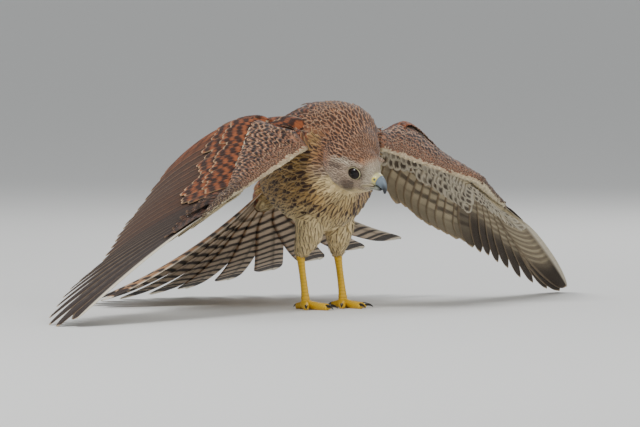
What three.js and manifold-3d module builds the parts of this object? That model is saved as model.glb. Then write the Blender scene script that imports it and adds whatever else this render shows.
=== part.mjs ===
import * as THREE from 'three';
import Module from 'manifold-3d';

// A common kestrel, life size, standing still in its mantling pose: body crouched, head low and
// turned to its left, both wings half open and drooped to the floor, tail fanned wide behind.
// Millimetres, Z up, floor at Z = 0, X to the right and Y away from the viewer.

const wasm = await Module();
wasm.setup();

// Whole bird
const bodyHeading = THREE.MathUtils.degToRad(-55);
const jointGap = 0.3;
const vaneThickness = 0.6;
const shinglePitch = 0.95;
const flightVaneRows = 6;
const covertVaneRows = 3;
const variationSeed = 41;

// Directions of the body: forward along the breastbone, to the bird's left, and up
const forward = new THREE.Vector3(Math.cos(bodyHeading), Math.sin(bodyHeading), 0);
const left = new THREE.Vector3(-Math.sin(bodyHeading), Math.cos(bodyHeading), 0);
const up = new THREE.Vector3(0, 0, 1);

// Torso: stations along the body as distance forward, height of the middle line, half width,
// height above and depth below the middle line
const torsoStations = [
  [-60, 86, 7, 6, 5],
  [-50, 89, 18, 13, 15],
  [-36, 93, 26, 26, 27],
  [-18, 98, 32, 39, 39],
  [0, 102, 35, 46, 48],
  [16, 106, 35, 44, 50],
  [30, 109, 31, 38, 44],
  [41, 111, 23, 26, 32],
  [47, 112, 11, 12, 16],
];
const torsoRingPoints = 22;

// Neck: stations as distance forward, distance to the left, height, radius
const neckStations = [
  [18, 0, 122, 27],
  [32, -2, 122, 26],
  [42, -5, 118, 23],
  [48, -6, 113, 18],
  [52, -7, 109, 10],
];
const neckRingPoints = 16;

// Head: place of the point midway between the eyes, and how it is turned
const headPlace = new THREE.Vector3(31.6, -56, 100.4);
const headYaw = THREE.MathUtils.degToRad(-38);
const headPitch = THREE.MathUtils.degToRad(-16);
const headRoll = THREE.MathUtils.degToRad(10);
// Head: stations as distance ahead of the eyes, half width, top and bottom heights
const headStations = [
  [-27, 6, 5, -8],
  [-24, 12, 11, -13],
  [-17, 16, 16, -17.5],
  [-9, 17.5, 17.8, -19],
  [-1, 14.6, 16.6, -18],
  [5, 11.4, 13.6, -15.5],
  [9, 7.8, 8.6, -13],
  [12, 5.2, 4, -10.4],
];
const headRingPoints = 20;

// Eyes: ball radius, distance of its centre to the side, radius of the opening between the lids
const eyeRadius = 5.6;
const eyeSide = 8.6;
const eyeOpening = 4.2;
const lidThickness = 0.8;
// Brow ridge over each eye: centre and half sizes, both ahead, aside and up
const browCentre = [0.5, 11.2, 6.4];
const browHalf = [7.5, 3.4, 2];
// Corner of the mouth: centre and half sizes of the fold behind the bill
const gapeCentre = [8, 9, -7.8];
const gapeHalf = [5.5, 2.6, 0.5];

// Bill: stations as distance ahead, height, half width, half depth
const upperBillStations = [
  [8.5, -3.4, 4.7, 4.5],
  [12, -3.3, 4.5, 4.2],
  [14.6, -3.8, 3.9, 3.8],
  [17, -5, 3, 3.1],
  [19, -7.1, 2.1, 2.3],
  [20, -9.6, 1.3, 1.5],
  [20.1, -12, 0.6, 0.6],
];
const lowerBillStations = [
  [8, -9.2, 4.2, 2.2],
  [12, -9.4, 3.5, 1.9],
  [15, -9.6, 2.5, 1.4],
  [17.2, -9.7, 1.3, 0.8],
];
const billRingPoints = 14;
const nostrilPlace = [13.2, 4.3, -2.5];
const nostrilRadius = 1;

// Legs: distance ahead and aside of the foot, heights along the leg, radii
const legAside = 18;
const rightFootAhead = 8;
const leftFootAhead = 3;
const ankleHeight = 40;
const ankleBack = 7;
const footHeight = 4.5;
const shinHeights = [76, 68, 56];
const shinInset = 4;
const shinRadii = [5, 11, 10.5, 4.6];
const tarsusRadii = [3.4, 2.5, 2.6, 3.4];
// Toes: turn from straight ahead, length, radius at the root and at the tip
const toes = [
  ['middle', 4, 26, 2.7, 2],
  ['inner', 38, 19, 2.6, 2],
  ['outer', -34, 18, 2.4, 1.8],
  ['hind', 176, 12, 2.6, 2.1],
];
const clawLength = 8.5;
const clawRadius = 1.25;

// Wings: places of shoulder, elbow and wrist, and directions of feathers at key places
const handLength = 48;
const scapularRise = 15;
const wingRootInset = 16;
const wingRootLength = 40;
const wingRootDepth = 20;
const rightWing = {
  name: 'wing_right',
  side: 1,
  shoulder: new THREE.Vector3(-8, -40, 116),
  elbow: new THREE.Vector3(-36, -20, 135),
  wrist: new THREE.Vector3(-53, -78, 90),
  handDirection: new THREE.Vector3(-0.48, -0.8, -0.35),
  scapularDirection: new THREE.Vector3(-0.66, 0.74, 0.02),
  tertialDirection: new THREE.Vector3(-0.86, 0.46, -0.08),
  innerDirection: new THREE.Vector3(-0.77, 0.5, -0.36),
  middleDirection: new THREE.Vector3(-0.88, -0.12, -0.45),
  outerDirection: new THREE.Vector3(-0.47, -0.8, -0.357),
};
const leftWing = {
  name: 'wing_left',
  side: -1,
  shoulder: new THREE.Vector3(43, -4, 114),
  elbow: new THREE.Vector3(66, 34, 130),
  wrist: new THREE.Vector3(111, 38, 90),
  handDirection: new THREE.Vector3(0.42, 0.83, -0.36),
  scapularDirection: new THREE.Vector3(-0.55, 0.83, -0.04),
  tertialDirection: new THREE.Vector3(-0.42, 0.86, -0.22),
  innerDirection: new THREE.Vector3(-0.36, 0.83, -0.42),
  middleDirection: new THREE.Vector3(-0.04, 0.9, -0.44),
  outerDirection: new THREE.Vector3(0.286, 0.888, -0.366),
};
const innermostScapular = -19;
const innermostTertial = -15;
const innermostSecondary = -11;
const innermostPrimary = 1;
const outermostPrimary = 10;
// Feather lengths by place on the wing, from the innermost tertial out to the tenth primary
const flightLengths = [[-20, 54], [-15, 74], [-12, 88], [-8, 99], [-4, 106], [0, 112], [2, 120], [5, 150],
  [7, 178], [8, 190], [9, 196], [10, 187]];

// Tail: middle of the root, turn of each outer feather about the upright, drop of root and tip
const tailRoot = new THREE.Vector3(-32, 44, 87);
const tailFeathers = 12;
const tailOuterRightTurn = THREE.MathUtils.degToRad(196);
const tailOuterLeftTurn = THREE.MathUtils.degToRad(52);

const colours = {
  back: 0x9a5f3c,
  breast: 0xcdb48a,
  crown: 0x9b6b4c,
  tail: 0xb9a083,
  bill: 0x5f6a75,
  cere: 0xd8cf86,
  eye: 0x1a1210,
  legs: 0xe2b21c,
  claws: 0x1c1a19,
  thigh: 0xc9a877,
};

// Smooth value between keyed values, carried straight on past the ends
function along(keys, place) {
  const last = keys.length - 1;
  let i = 0;
  while (i < last - 1 && place > keys[i + 1][0]) {
    i += 1;
  }
  const slope = (k) => {
    const low = Math.max(k - 1, 0);
    const high = Math.min(k + 1, last);
    return keys[low][1].clone
      ? keys[high][1].clone().sub(keys[low][1]).divideScalar(keys[high][0] - keys[low][0])
      : (keys[high][1] - keys[low][1]) / (keys[high][0] - keys[low][0]);
  };
  const span = keys[i + 1][0] - keys[i][0];
  const vector = Boolean(keys[0][1].clone);
  if (place < keys[0][0] || place > keys[last][0]) {
    const end = place < keys[0][0] ? 0 : last;
    const beyond = place - keys[end][0];
    const rate = slope(end);
    return vector ? keys[end][1].clone().addScaledVector(rate, beyond) : keys[end][1] + rate * beyond;
  }
  const u = (place - keys[i][0]) / span;
  const h00 = 2 * u ** 3 - 3 * u ** 2 + 1;
  const h10 = u ** 3 - 2 * u ** 2 + u;
  const h01 = 3 * u ** 2 - 2 * u ** 3;
  const h11 = u ** 3 - u ** 2;
  const a = slope(i);
  const b = slope(i + 1);
  if (vector) {
    return keys[i][1].clone().multiplyScalar(h00).addScaledVector(a, h10 * span)
      .addScaledVector(keys[i + 1][1], h01).addScaledVector(b, h11 * span);
  }
  return h00 * keys[i][1] + h10 * span * a + h01 * keys[i + 1][1] + h11 * span * b;
}

// Closed solid from a list of rings with the same number of points, closed by a fan at each end
function ringSolid(rings) {
  const points = [];
  const triangles = [];
  const count = rings[0].length;
  for (const ring of rings) {
    points.push(...ring);
  }
  for (let r = 0; r < rings.length - 1; r += 1) {
    for (let k = 0; k < count; k += 1) {
      const a = r * count + k;
      const b = r * count + ((k + 1) % count);
      triangles.push([a, b, b + count], [a, b + count, a + count]);
    }
  }
  for (const end of [0, rings.length - 1]) {
    const middle = new THREE.Vector3();
    for (const point of rings[end]) {
      middle.addScaledVector(point, 1 / count);
    }
    const hub = points.length;
    points.push(middle);
    for (let k = 0; k < count; k += 1) {
      const a = end * count + k;
      const b = end * count + ((k + 1) % count);
      triangles.push(end === 0 ? [b, a, hub] : [a, b, hub]);
    }
  }
  return solidFrom(points, triangles);
}

// Thin plate from rows of points of its upper and lower faces, split alike on both faces
function plateSolid(upper, lower) {
  const points = [];
  const triangles = [];
  const rows = upper.length;
  for (let r = 0; r < rows; r += 1) {
    points.push(upper[r][0], upper[r][1], lower[r][1], lower[r][0]);
  }
  for (let r = 0; r < rows - 1; r += 1) {
    const a = 4 * r;
    const b = 4 * (r + 1);
    triangles.push([a, a + 1, b + 1], [a, b + 1, b]);
    triangles.push([a + 3, b + 2, a + 2], [a + 3, b + 3, b + 2]);
    triangles.push([a + 1, a + 2, b + 2], [a + 1, b + 2, b + 1]);
    triangles.push([a, b + 3, a + 3], [a, b, b + 3]);
  }
  const z = 4 * (rows - 1);
  triangles.push([0, 3, 2], [0, 2, 1]);
  triangles.push([z, z + 1, z + 2], [z, z + 2, z + 3]);
  return solidFrom(points, triangles);
}

function solidFrom(points, triangles) {
  let volume = 0;
  for (const [a, b, c] of triangles) {
    volume += points[a].dot(points[b].clone().cross(points[c]));
  }
  const vertProperties = new Float32Array(points.length * 3);
  points.forEach((point, i) => point.toArray(vertProperties, 3 * i));
  const triVerts = new Uint32Array(triangles.length * 3);
  triangles.forEach((triangle, i) => {
    triVerts.set(volume < 0 ? [triangle[0], triangle[2], triangle[1]] : triangle, 3 * i);
  });
  return new wasm.Manifold(new wasm.Mesh({ numProp: 3, vertProperties, triVerts }));
}

function unite(solids) {
  return solids.reduce((sum, solid) => sum.add(solid));
}

// The largest closed surface of a solid, which drops loose scraps
function largest(solid) {
  const pieces = solid.decompose();
  pieces.sort((a, b) => b.volume() - a.volume());
  return pieces[0];
}

// Ball stretched along three directions
function ball(centre, axes, rows = 8, count = 14) {
  const rings = [];
  for (let r = 1; r < rows; r += 1) {
    const rise = -Math.cos((Math.PI * r) / rows);
    const girth = Math.sin((Math.PI * r) / rows);
    const ring = [];
    for (let k = 0; k < count; k += 1) {
      const turn = (2 * Math.PI * k) / count;
      ring.push(centre.clone().addScaledVector(axes[2], rise)
        .addScaledVector(axes[0], girth * Math.cos(turn)).addScaledVector(axes[1], girth * Math.sin(turn)));
    }
    rings.push(ring);
  }
  return ringSolid(rings);
}

function roundBall(centre, radius, rows = 8, count = 14) {
  return ball(centre, [new THREE.Vector3(radius, 0, 0), new THREE.Vector3(0, radius, 0),
    new THREE.Vector3(0, 0, radius)], rows, count);
}

// Limb: a tube through given points with a radius at each, its sections square to its path
function limb(points, radii, count = 12, flatten = 1) {
  const rings = [];
  let side = null;
  points.forEach((point, i) => {
    const ahead = points[Math.min(i + 1, points.length - 1)].clone()
      .sub(points[Math.max(i - 1, 0)]).normalize();
    const guess = side || (Math.abs(ahead.z) > 0.9 ? forward.clone() : up.clone());
    side = guess.clone().addScaledVector(ahead, -guess.dot(ahead)).normalize();
    const other = ahead.clone().cross(side);
    const ring = [];
    for (let k = 0; k < count; k += 1) {
      const turn = (2 * Math.PI * k) / count;
      ring.push(point.clone().addScaledVector(side, radii[i] * flatten * Math.cos(turn))
        .addScaledVector(other, radii[i] * Math.sin(turn)));
    }
    rings.push(ring);
  });
  return ringSolid(rings);
}

function torsoSolid(grow) {
  const rings = torsoStations.map(([ahead, height, half, above, below]) => {
    const ring = [];
    for (let k = 0; k < torsoRingPoints; k += 1) {
      const turn = (2 * Math.PI * k) / torsoRingPoints;
      const reach = Math.sin(turn) > 0 ? above + grow : below + grow;
      ring.push(forward.clone().multiplyScalar(ahead)
        .addScaledVector(left, (half + grow) * Math.cos(turn))
        .addScaledVector(up, height + reach * Math.sin(turn)));
    }
    return ring;
  });
  rings[0].forEach((point) => point.addScaledVector(forward, -grow));
  rings[rings.length - 1].forEach((point) => point.addScaledVector(forward, grow));
  return ringSolid(rings);
}

// Small differences between like feathers, the same each time from a fixed seed
let variationState = variationSeed;
function vary(share) {
  variationState = (variationState * 1664525 + 1013904223) % 4294967296;
  return 1 + share * (2 * (variationState / 4294967296) - 1);
}

function bodyPoint(ahead, aside, height) {
  return forward.clone().multiplyScalar(ahead).addScaledVector(left, aside).addScaledVector(up, height);
}

function neckSolid(grow) {
  const points = neckStations.map(([ahead, aside, height]) => bodyPoint(ahead, aside, height));
  return limb(points, neckStations.map((station) => station[3] + grow), neckRingPoints);
}

// Head directions: ahead along the bill, to the bird's right, and up through the crown
const headBasis = new THREE.Matrix4().makeRotationZ(headYaw)
  .multiply(new THREE.Matrix4().makeRotationY(-headPitch))
  .multiply(new THREE.Matrix4().makeRotationX(headRoll));
const headAhead = new THREE.Vector3(1, 0, 0).applyMatrix4(headBasis);
const headRight = new THREE.Vector3(0, -1, 0).applyMatrix4(headBasis);
const headUp = new THREE.Vector3(0, 0, 1).applyMatrix4(headBasis);

function headPoint(ahead, right, rise) {
  return headPlace.clone().addScaledVector(headAhead, ahead).addScaledVector(headRight, right)
    .addScaledVector(headUp, rise);
}

function skullSolid() {
  const rings = headStations.map(([ahead, half, top, bottom]) => {
    const ring = [];
    const middle = (top + bottom) / 2;
    const reach = (top - bottom) / 2;
    for (let k = 0; k < headRingPoints; k += 1) {
      const turn = (2 * Math.PI * k) / headRingPoints;
      ring.push(headPoint(ahead, half * Math.cos(turn), middle + reach * Math.sin(turn)));
    }
    return ring;
  });
  return ringSolid(rings);
}

// Pair of signs for the bird's right and left side
const sides = { right: 1, left: -1 };

function headBall(centre, half, side, rows, count) {
  const place = headPoint(centre[0], side * centre[1], centre[2]);
  const axes = [headAhead.clone().multiplyScalar(half[0]), headRight.clone().multiplyScalar(half[1]),
    headUp.clone().multiplyScalar(half[2])];
  return ball(place, axes, rows, count);
}

function eyeSolid(side, grow) {
  const radius = eyeRadius + grow;
  return headBall([0, eyeSide, 0], [radius, radius, radius], side, 9, 14);
}

// Opening between the lids: a short round bar from the eye outwards
function eyeOpeningSolid(side) {
  const inner = eyeSide + 2;
  const outer = eyeSide + 12;
  const rings = [inner, outer].map((reach) => {
    const ring = [];
    for (let k = 0; k < 14; k += 1) {
      const turn = (2 * Math.PI * k) / 14;
      ring.push(headPoint(eyeOpening * Math.cos(turn), side * reach, 0.92 * eyeOpening * Math.sin(turn)));
    }
    return ring;
  });
  return ringSolid(rings);
}

function billSolid(stations, grow) {
  const rings = stations.map(([ahead, rise, half, deep], i) => {
    const before = stations[Math.max(i - 1, 0)];
    const after = stations[Math.min(i + 1, stations.length - 1)];
    const slope = Math.atan2(after[1] - before[1], after[0] - before[0]);
    const ring = [];
    for (let k = 0; k < billRingPoints; k += 1) {
      const turn = (2 * Math.PI * k) / billRingPoints;
      const reach = (deep + grow) * Math.sin(turn);
      ring.push(headPoint(ahead - reach * Math.sin(slope), (half + grow) * Math.cos(turn),
        rise + reach * Math.cos(slope)));
    }
    return ring;
  });
  return ringSolid(rings);
}

function upperBill() {
  let bill = billSolid(upperBillStations, 0);
  for (const side of Object.values(sides)) {
    bill = bill.subtract(headBall(nostrilPlace, [nostrilRadius, nostrilRadius, nostrilRadius], side, 6, 10));
  }
  return largest(bill);
}

function lowerBill() {
  return largest(billSolid(lowerBillStations, 0).subtract(billSolid(upperBillStations, jointGap)));
}

function headSolid() {
  let head = skullSolid();
  for (const side of Object.values(sides)) {
    const lid = eyeRadius + lidThickness;
    head = head.add(headBall([0, eyeSide, 0], [lid, lid, lid], side, 9, 14));
    head = head.add(headBall(browCentre, browHalf, side, 6, 10));
    head = head.subtract(eyeSolid(side, jointGap)).subtract(eyeOpeningSolid(side));
    head = head.subtract(headBall(gapeCentre, gapeHalf, side, 6, 10));
  }
  head = head.subtract(billSolid(upperBillStations, jointGap));
  head = head.subtract(billSolid(lowerBillStations, jointGap));
  return largest(head.subtract(neckSolid(jointGap)).subtract(torsoSolid(jointGap)));
}

// Floor block, which gives every part that stands on the floor its flat
function floorBlock() {
  const reach = 600;
  const ring = (height) => [[-1, -1], [1, -1], [1, 1], [-1, 1]]
    .map(([x, y]) => new THREE.Vector3(reach * x, reach * y, height));
  return ringSolid([ring(-40), ring(0)]);
}

function footAhead(side) {
  return side > 0 ? rightFootAhead : leftFootAhead;
}

function tarsusSolid(side, grow) {
  const ahead = footAhead(side);
  const aside = -side * legAside;
  const points = [bodyPoint(ahead - ankleBack, aside, ankleHeight), bodyPoint(ahead - 5, aside, 30),
    bodyPoint(ahead - 1.5, aside, 14), bodyPoint(ahead, aside, footHeight)];
  return limb(points, tarsusRadii.map((radius) => radius + grow), 10);
}

function shinSolid(side) {
  const ahead = footAhead(side);
  const aside = -side * legAside;
  const points = shinHeights.map((height) => bodyPoint(ahead, aside + side * shinInset, height));
  points.push(bodyPoint(ahead - ankleBack, aside, ankleHeight - 3));
  const shin = limb(points, shinRadii, 14);
  return largest(shin.subtract(tarsusSolid(side, jointGap)).subtract(torsoSolid(jointGap)));
}

function toePath(side, turn) {
  const lean = THREE.MathUtils.degToRad(side * turn);
  const direction = forward.clone().applyAxisAngle(up, lean);
  return { root: bodyPoint(footAhead(side), -side * legAside, 0), direction };
}

function toeSolid(side, [, turn, length, rootRadius, tipRadius], grow) {
  const { root, direction } = toePath(side, turn);
  const heights = [footHeight, 2.9, 1.9, 1.6];
  const shares = [0, 0.35, 0.75, 1];
  const radii = [rootRadius, rootRadius, 0.5 * (rootRadius + tipRadius), tipRadius];
  const points = shares.map((share, i) => root.clone().addScaledVector(direction, length * share)
    .addScaledVector(up, heights[i]));
  return limb(points, radii.map((radius) => radius + grow), 7);
}

function footSolid(side, grow) {
  return unite([tarsusSolid(side, grow), ...toes.map((toe) => toeSolid(side, toe, grow)),
    roundBall(bodyPoint(footAhead(side), -side * legAside, footHeight - 0.6), 3.6 + grow, 6, 10)]);
}

function clawSolid(side, [, turn, length]) {
  const { root, direction } = toePath(side, turn);
  const points = [];
  const radii = [];
  const steps = 4;
  for (let i = 0; i < steps; i += 1) {
    const share = i / (steps - 1);
    const bend = share * THREE.MathUtils.degToRad(78);
    points.push(root.clone().addScaledVector(direction, length - 1.5 + clawLength * Math.sin(bend) * 0.78)
      .addScaledVector(up, 2.9 - clawLength * (1 - Math.cos(bend)) * 0.32));
    radii.push(clawRadius * (1 - 0.8 * share));
  }
  return largest(limb(points, radii, 7).subtract(footSolid(side, jointGap)).subtract(floorBlock()));
}

// Wing sheet: the surface on which the feathers of one wing lie, by place and by share of length
function wingSheet(wing) {
  const outward = wing.handDirection.clone().normalize();
  const handEnd = wing.wrist.clone().addScaledVector(outward, handLength);
  const inward = left.clone().multiplyScalar(wing.side);
  const roots = [
    [-20.5, wing.shoulder.clone().addScaledVector(inward, 5).addScaledVector(forward, -8)
      .addScaledVector(up, scapularRise)],
    [-16, wing.elbow.clone().lerp(wing.shoulder, 0.55)],
    [-12, wing.elbow.clone()],
    [-6, wing.elbow.clone().lerp(wing.wrist, 0.5)],
    [0.5, wing.wrist.clone()],
    [5, wing.wrist.clone().lerp(handEnd, 0.5)],
    [10, handEnd],
  ];
  const directions = [
    [-20.5, wing.scapularDirection.clone().normalize()],
    [-16, wing.tertialDirection.clone().normalize()],
    [-12, wing.innerDirection.clone().normalize()],
    [0, wing.middleDirection.clone().normalize()],
    [10, wing.outerDirection.clone().normalize()],
  ];
  const cambers = [[-20, 5], [-16, 7], [-10, 10], [0, 7], [10, 4]];
  const at = (place, share) => along(roots, place)
    .addScaledVector(along(directions, place).normalize(), along(flightLengths, place) * share)
    .addScaledVector(up, along(cambers, place) * 4 * share * (1 - share));
  return sheetFrom(at, roots, handEnd, wing);
}

function sheetFrom(at, roots, handEnd, wing) {
  const step = 0.02;
  const normal = (place, share) => {
    const across = at(place + step, share).sub(at(place - step, share));
    const onward = at(place, share + step).sub(at(place, share - step));
    const square = across.cross(onward).normalize();
    return square.z < 0 ? square.negate() : square;
  };
  const spacing = (place, share) => at(place + step, share).distanceTo(at(place - step, share)) / (2 * step);
  return { at, normal, spacing, roots, handEnd, wing };
}

// One vane on a sheet: its width on the outer and inner side, its tip rounded or pointed
function vane(sheet, place, from, to, outerWeb, innerWeb, height, tipPoint, vaneRows) {
  const upper = [];
  const lower = [];
  for (let s = 0; s < vaneRows; s += 1) {
    const run = s / (vaneRows - 1);
    const eased = 1 - (1 - run) ** 1.35;
    const share = from + (to - from) * eased;
    const swell = 0.45 + 0.55 * Math.min(1, eased / 0.35);
    const fromTip = 1 - eased;
    const taper = fromTip < tipPoint ? Math.sqrt(Math.max(0, 1 - (1 - fromTip / tipPoint) ** 2)) : 1;
    const width = swell * Math.max(taper, 0.12);
    const rows = [outerWeb * width, -innerWeb * width].map((aside) => {
      const offset = aside / sheet.spacing(place, share);
      const spot = sheet.at(place + offset, share);
      const square = sheet.normal(place + offset, share);
      const lift = height + shinglePitch * offset;
      return [spot.clone().addScaledVector(square, lift + vaneThickness / 2),
        spot.clone().addScaledVector(square, lift - vaneThickness / 2)];
    });
    upper.push([rows[0][0], rows[1][0]]);
    lower.push([rows[0][1], rows[1][1]]);
  }
  return plateSolid(upper, lower);
}

// Flesh of the wing: from its leading edge back past the feather roots
function wingCore(sheet) {
  const { wing } = sheet;
  const edge = [
    [-16, wing.shoulder.clone()],
    [-12, wing.shoulder.clone().lerp(wing.wrist, 0.25)],
    [-6, wing.shoulder.clone().lerp(wing.wrist, 0.68)],
    [-1, wing.wrist.clone().addScaledVector(sheet.handEnd.clone().sub(wing.wrist), 0.02)],
    [10, sheet.handEnd.clone()],
  ];
  const depths = [[-16, 13], [-10, 11], [0, 9], [10, 4]];
  const stations = [-15.5, -12.5, -9, -5, -1.5, 1, 5, 8, 10.3];
  const count = 10;
  const rings = stations.map((place) => {
    const front = along(edge, place);
    const length = along(flightLengths, place);
    const back = sheet.at(place, 15 / length);
    const ahead = back.clone().sub(front).normalize();
    front.addScaledVector(ahead, -5);
    const middle = front.clone().lerp(back, 0.5);
    const half = back.clone().sub(front).multiplyScalar(0.5);
    const square = sheet.normal(place, 0.02);
    const depth = along(depths, place);
    const ring = [];
    for (let k = 0; k < count; k += 1) {
      const turn = (2 * Math.PI * k) / count;
      const bulge = 0.3 * depth * (1 - Math.cos(turn) ** 2);
      ring.push(middle.clone().addScaledVector(half, Math.cos(turn))
        .addScaledVector(square, 0.5 * depth * Math.sin(turn) + bulge));
    }
    return ring;
  });
  // Root of the wing inside the flank, from the shoulder back along the body
  const inward = left.clone().multiplyScalar(wing.side);
  const rootMiddle = wing.shoulder.clone().addScaledVector(inward, wingRootInset)
    .addScaledVector(forward, 6 - wingRootLength / 2);
  const rootRing = [];
  for (let k = 0; k < count; k += 1) {
    const turn = (2 * Math.PI * k) / count;
    rootRing.push(rootMiddle.clone().addScaledVector(forward, (wingRootLength / 2) * Math.cos(turn))
      .addScaledVector(up, (wingRootDepth / 2) * Math.sin(turn)));
  }
  rings.unshift(rootRing);
  return ringSolid(rings);
}

function wingSolid(wing) {
  const sheet = wingSheet(wing);
  const parts = [wingCore(sheet)];
  for (let place = innermostScapular; place <= outermostPrimary; place += 1) {
    const primary = place >= innermostPrimary;
    const secondary = place >= innermostSecondary && !primary;
    const scapular = place < innermostTertial;
    const outerWeb = (primary ? 5.5 - 0.15 * place : 8) * vary(0.05) * (scapular ? 0.8 : 1);
    const innerWeb = (primary ? 12.5 - 0.25 * place : 12) * vary(0.05);
    const tip = place < 8 ? vary(0.02) : 1;
    parts.push(vane(sheet, place, 0.01, tip, outerWeb, innerWeb, 0, primary ? 0.3 : 0.2, flightVaneRows));
    if (primary || secondary) {
      const coverEnd = primary ? 0.36 : 0.42;
      parts.push(vane(sheet, place, 0.01, coverEnd, 5.5, 5.5, 3.2, 0.35, covertVaneRows));
    }
  }
  return largest(unite(parts).subtract(torsoSolid(jointGap)).subtract(neckSolid(jointGap))
    .subtract(floorBlock()));
}

// Tail sheet: feathers run out from a small arc at the root and bend along the floor
function tailSheet() {
  const at = (place, share) => {
    const across = (place - 1) / (tailFeathers - 1);
    const turn = tailOuterRightTurn + (tailOuterLeftTurn - tailOuterRightTurn) * across;
    const outward = new THREE.Vector3(Math.cos(turn), Math.sin(turn), 0);
    const fromMiddle = Math.abs(across - 0.5) * 2;
    const length = 166 - 16 * fromMiddle ** 2;
    const rootDrop = THREE.MathUtils.degToRad(along([[0, 45], [0.5, 47], [1, 26]], across));
    const tipDrop = THREE.MathUtils.degToRad(along([[0, 22], [0.5, 14], [1, 8]], across));
    const point = tailRoot.clone().addScaledVector(outward, 5);
    const steps = 24;
    for (let i = 0; i < steps; i += 1) {
      const drop = rootDrop + (tipDrop - rootDrop) * ((i + 0.5) / steps) * share;
      point.addScaledVector(outward, (Math.cos(drop) * length * share) / steps);
      point.addScaledVector(up, (-Math.sin(drop) * length * share) / steps);
    }
    return point;
  };
  return sheetFrom(at);
}

function tailSolid() {
  const sheet = tailSheet();
  const base = limb([bodyPoint(-46, 0, 88), bodyPoint(-58, 0, 84), bodyPoint(-68, 0, 77), bodyPoint(-76, 0, 71)],
    [13, 13, 11, 5], 14);
  const parts = [base];
  for (let place = 1; place <= tailFeathers; place += 1) {
    const rightSide = place <= tailFeathers / 2;
    const toOuterEdge = 7.5 * vary(0.04);
    const toMiddle = 14 * vary(0.04);
    parts.push(vane(sheet, place, 0.02, 1 - Math.abs(vary(0.012) - 1), rightSide ? toMiddle : toOuterEdge,
      rightSide ? toOuterEdge : toMiddle, 0, 0.16, flightVaneRows));
  }
  return largest(unite(parts).subtract(torsoSolid(jointGap)).subtract(floorBlock()));
}

function mesh(name, solid, colour, roughness = 0.8, metalness = 0) {
  const data = solid.getMesh();
  const geometry = new THREE.BufferGeometry();
  geometry.setAttribute('position', new THREE.BufferAttribute(new Float32Array(data.vertProperties), 3));
  geometry.setIndex(new THREE.BufferAttribute(new Uint32Array(data.triVerts), 1));
  geometry.computeVertexNormals();
  const material = new THREE.MeshStandardMaterial({ color: colour, roughness, metalness });
  const result = new THREE.Mesh(geometry, material);
  result.name = name;
  return result;
}

const group = new THREE.Group();
group.name = 'common_kestrel';
group.add(mesh('torso', torsoSolid(0), colours.breast));
group.add(mesh('neck', largest(neckSolid(0).subtract(torsoSolid(jointGap))), colours.back));
group.add(mesh('head', headSolid(), colours.crown));
group.add(mesh('bill_upper', upperBill(), colours.bill, 0.45));
group.add(mesh('bill_lower', lowerBill(), colours.bill, 0.45));
for (const [word, side] of Object.entries(sides)) {
  group.add(mesh(`eye_${word}`, eyeSolid(side, 0), colours.eye, 0.08));
  group.add(mesh(`shin_${word}`, shinSolid(side), colours.thigh));
  group.add(mesh(`foot_${word}`, largest(footSolid(side, 0).subtract(floorBlock())), colours.legs, 0.55));
  for (const toe of toes) {
    group.add(mesh(`claw_${word}_${toe[0]}`, clawSolid(side, toe), colours.claws, 0.35));
  }
}
group.add(mesh(rightWing.name, wingSolid(rightWing), colours.back));
group.add(mesh(leftWing.name, wingSolid(leftWing), colours.back));
group.add(mesh('tail', tailSolid(), colours.tail));

// The origin is the middle of the bird's footprint on the floor
const extent = new THREE.Box3().setFromObject(group);
const middle = extent.getCenter(new THREE.Vector3());
for (const piece of group.children) {
  piece.geometry.translate(-middle.x, -middle.y, 0);
}

export default group;
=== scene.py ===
import math

import bpy
import numpy as np
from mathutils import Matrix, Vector
from mathutils.bvhtree import BVHTree
from mathutils.kdtree import KDTree


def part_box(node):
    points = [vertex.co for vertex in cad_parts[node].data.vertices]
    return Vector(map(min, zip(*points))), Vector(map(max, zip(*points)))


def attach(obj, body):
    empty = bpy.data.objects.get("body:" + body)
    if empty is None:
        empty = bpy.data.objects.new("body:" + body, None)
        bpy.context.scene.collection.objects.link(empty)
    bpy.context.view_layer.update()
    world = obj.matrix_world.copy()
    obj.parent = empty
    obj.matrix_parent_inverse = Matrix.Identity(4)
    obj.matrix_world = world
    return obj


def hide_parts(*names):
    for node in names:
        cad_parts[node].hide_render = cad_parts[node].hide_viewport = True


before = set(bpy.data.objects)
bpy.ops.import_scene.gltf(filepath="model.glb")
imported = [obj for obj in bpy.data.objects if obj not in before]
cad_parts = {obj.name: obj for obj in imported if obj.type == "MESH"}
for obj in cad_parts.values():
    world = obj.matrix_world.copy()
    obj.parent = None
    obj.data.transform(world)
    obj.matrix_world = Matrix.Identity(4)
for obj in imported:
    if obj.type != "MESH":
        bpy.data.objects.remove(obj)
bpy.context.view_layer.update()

# Camera
# A long lens five metres in front of the bird, a little above the middle of its body and
# looking two degrees down, so that near and far feathers keep nearly the same scale.


def put_in_scene(name, data):
    """A new object in the scene with the given mesh, lamp or lens."""
    thing = bpy.data.objects.new(name, data)
    bpy.context.scene.collection.objects.link(thing)
    return thing


camera_data = bpy.data.cameras.new("camera")
camera = put_in_scene("camera", camera_data)
bpy.context.scene.camera = camera
camera_data.sensor_width = 36.0
camera_data.lens = 393.75
camera_data.clip_end = 250.0
camera_drop = math.radians(2.0)
camera_distance = 5.0
camera_aim = Vector((-0.0002, 0.0115, 0.0675))
camera_look = Vector((0.0, math.cos(camera_drop), -math.sin(camera_drop)))
camera.location = camera_aim - camera_look * camera_distance
camera.rotation_euler = (math.pi / 2 - camera_drop, 0.0, 0.0)

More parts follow.
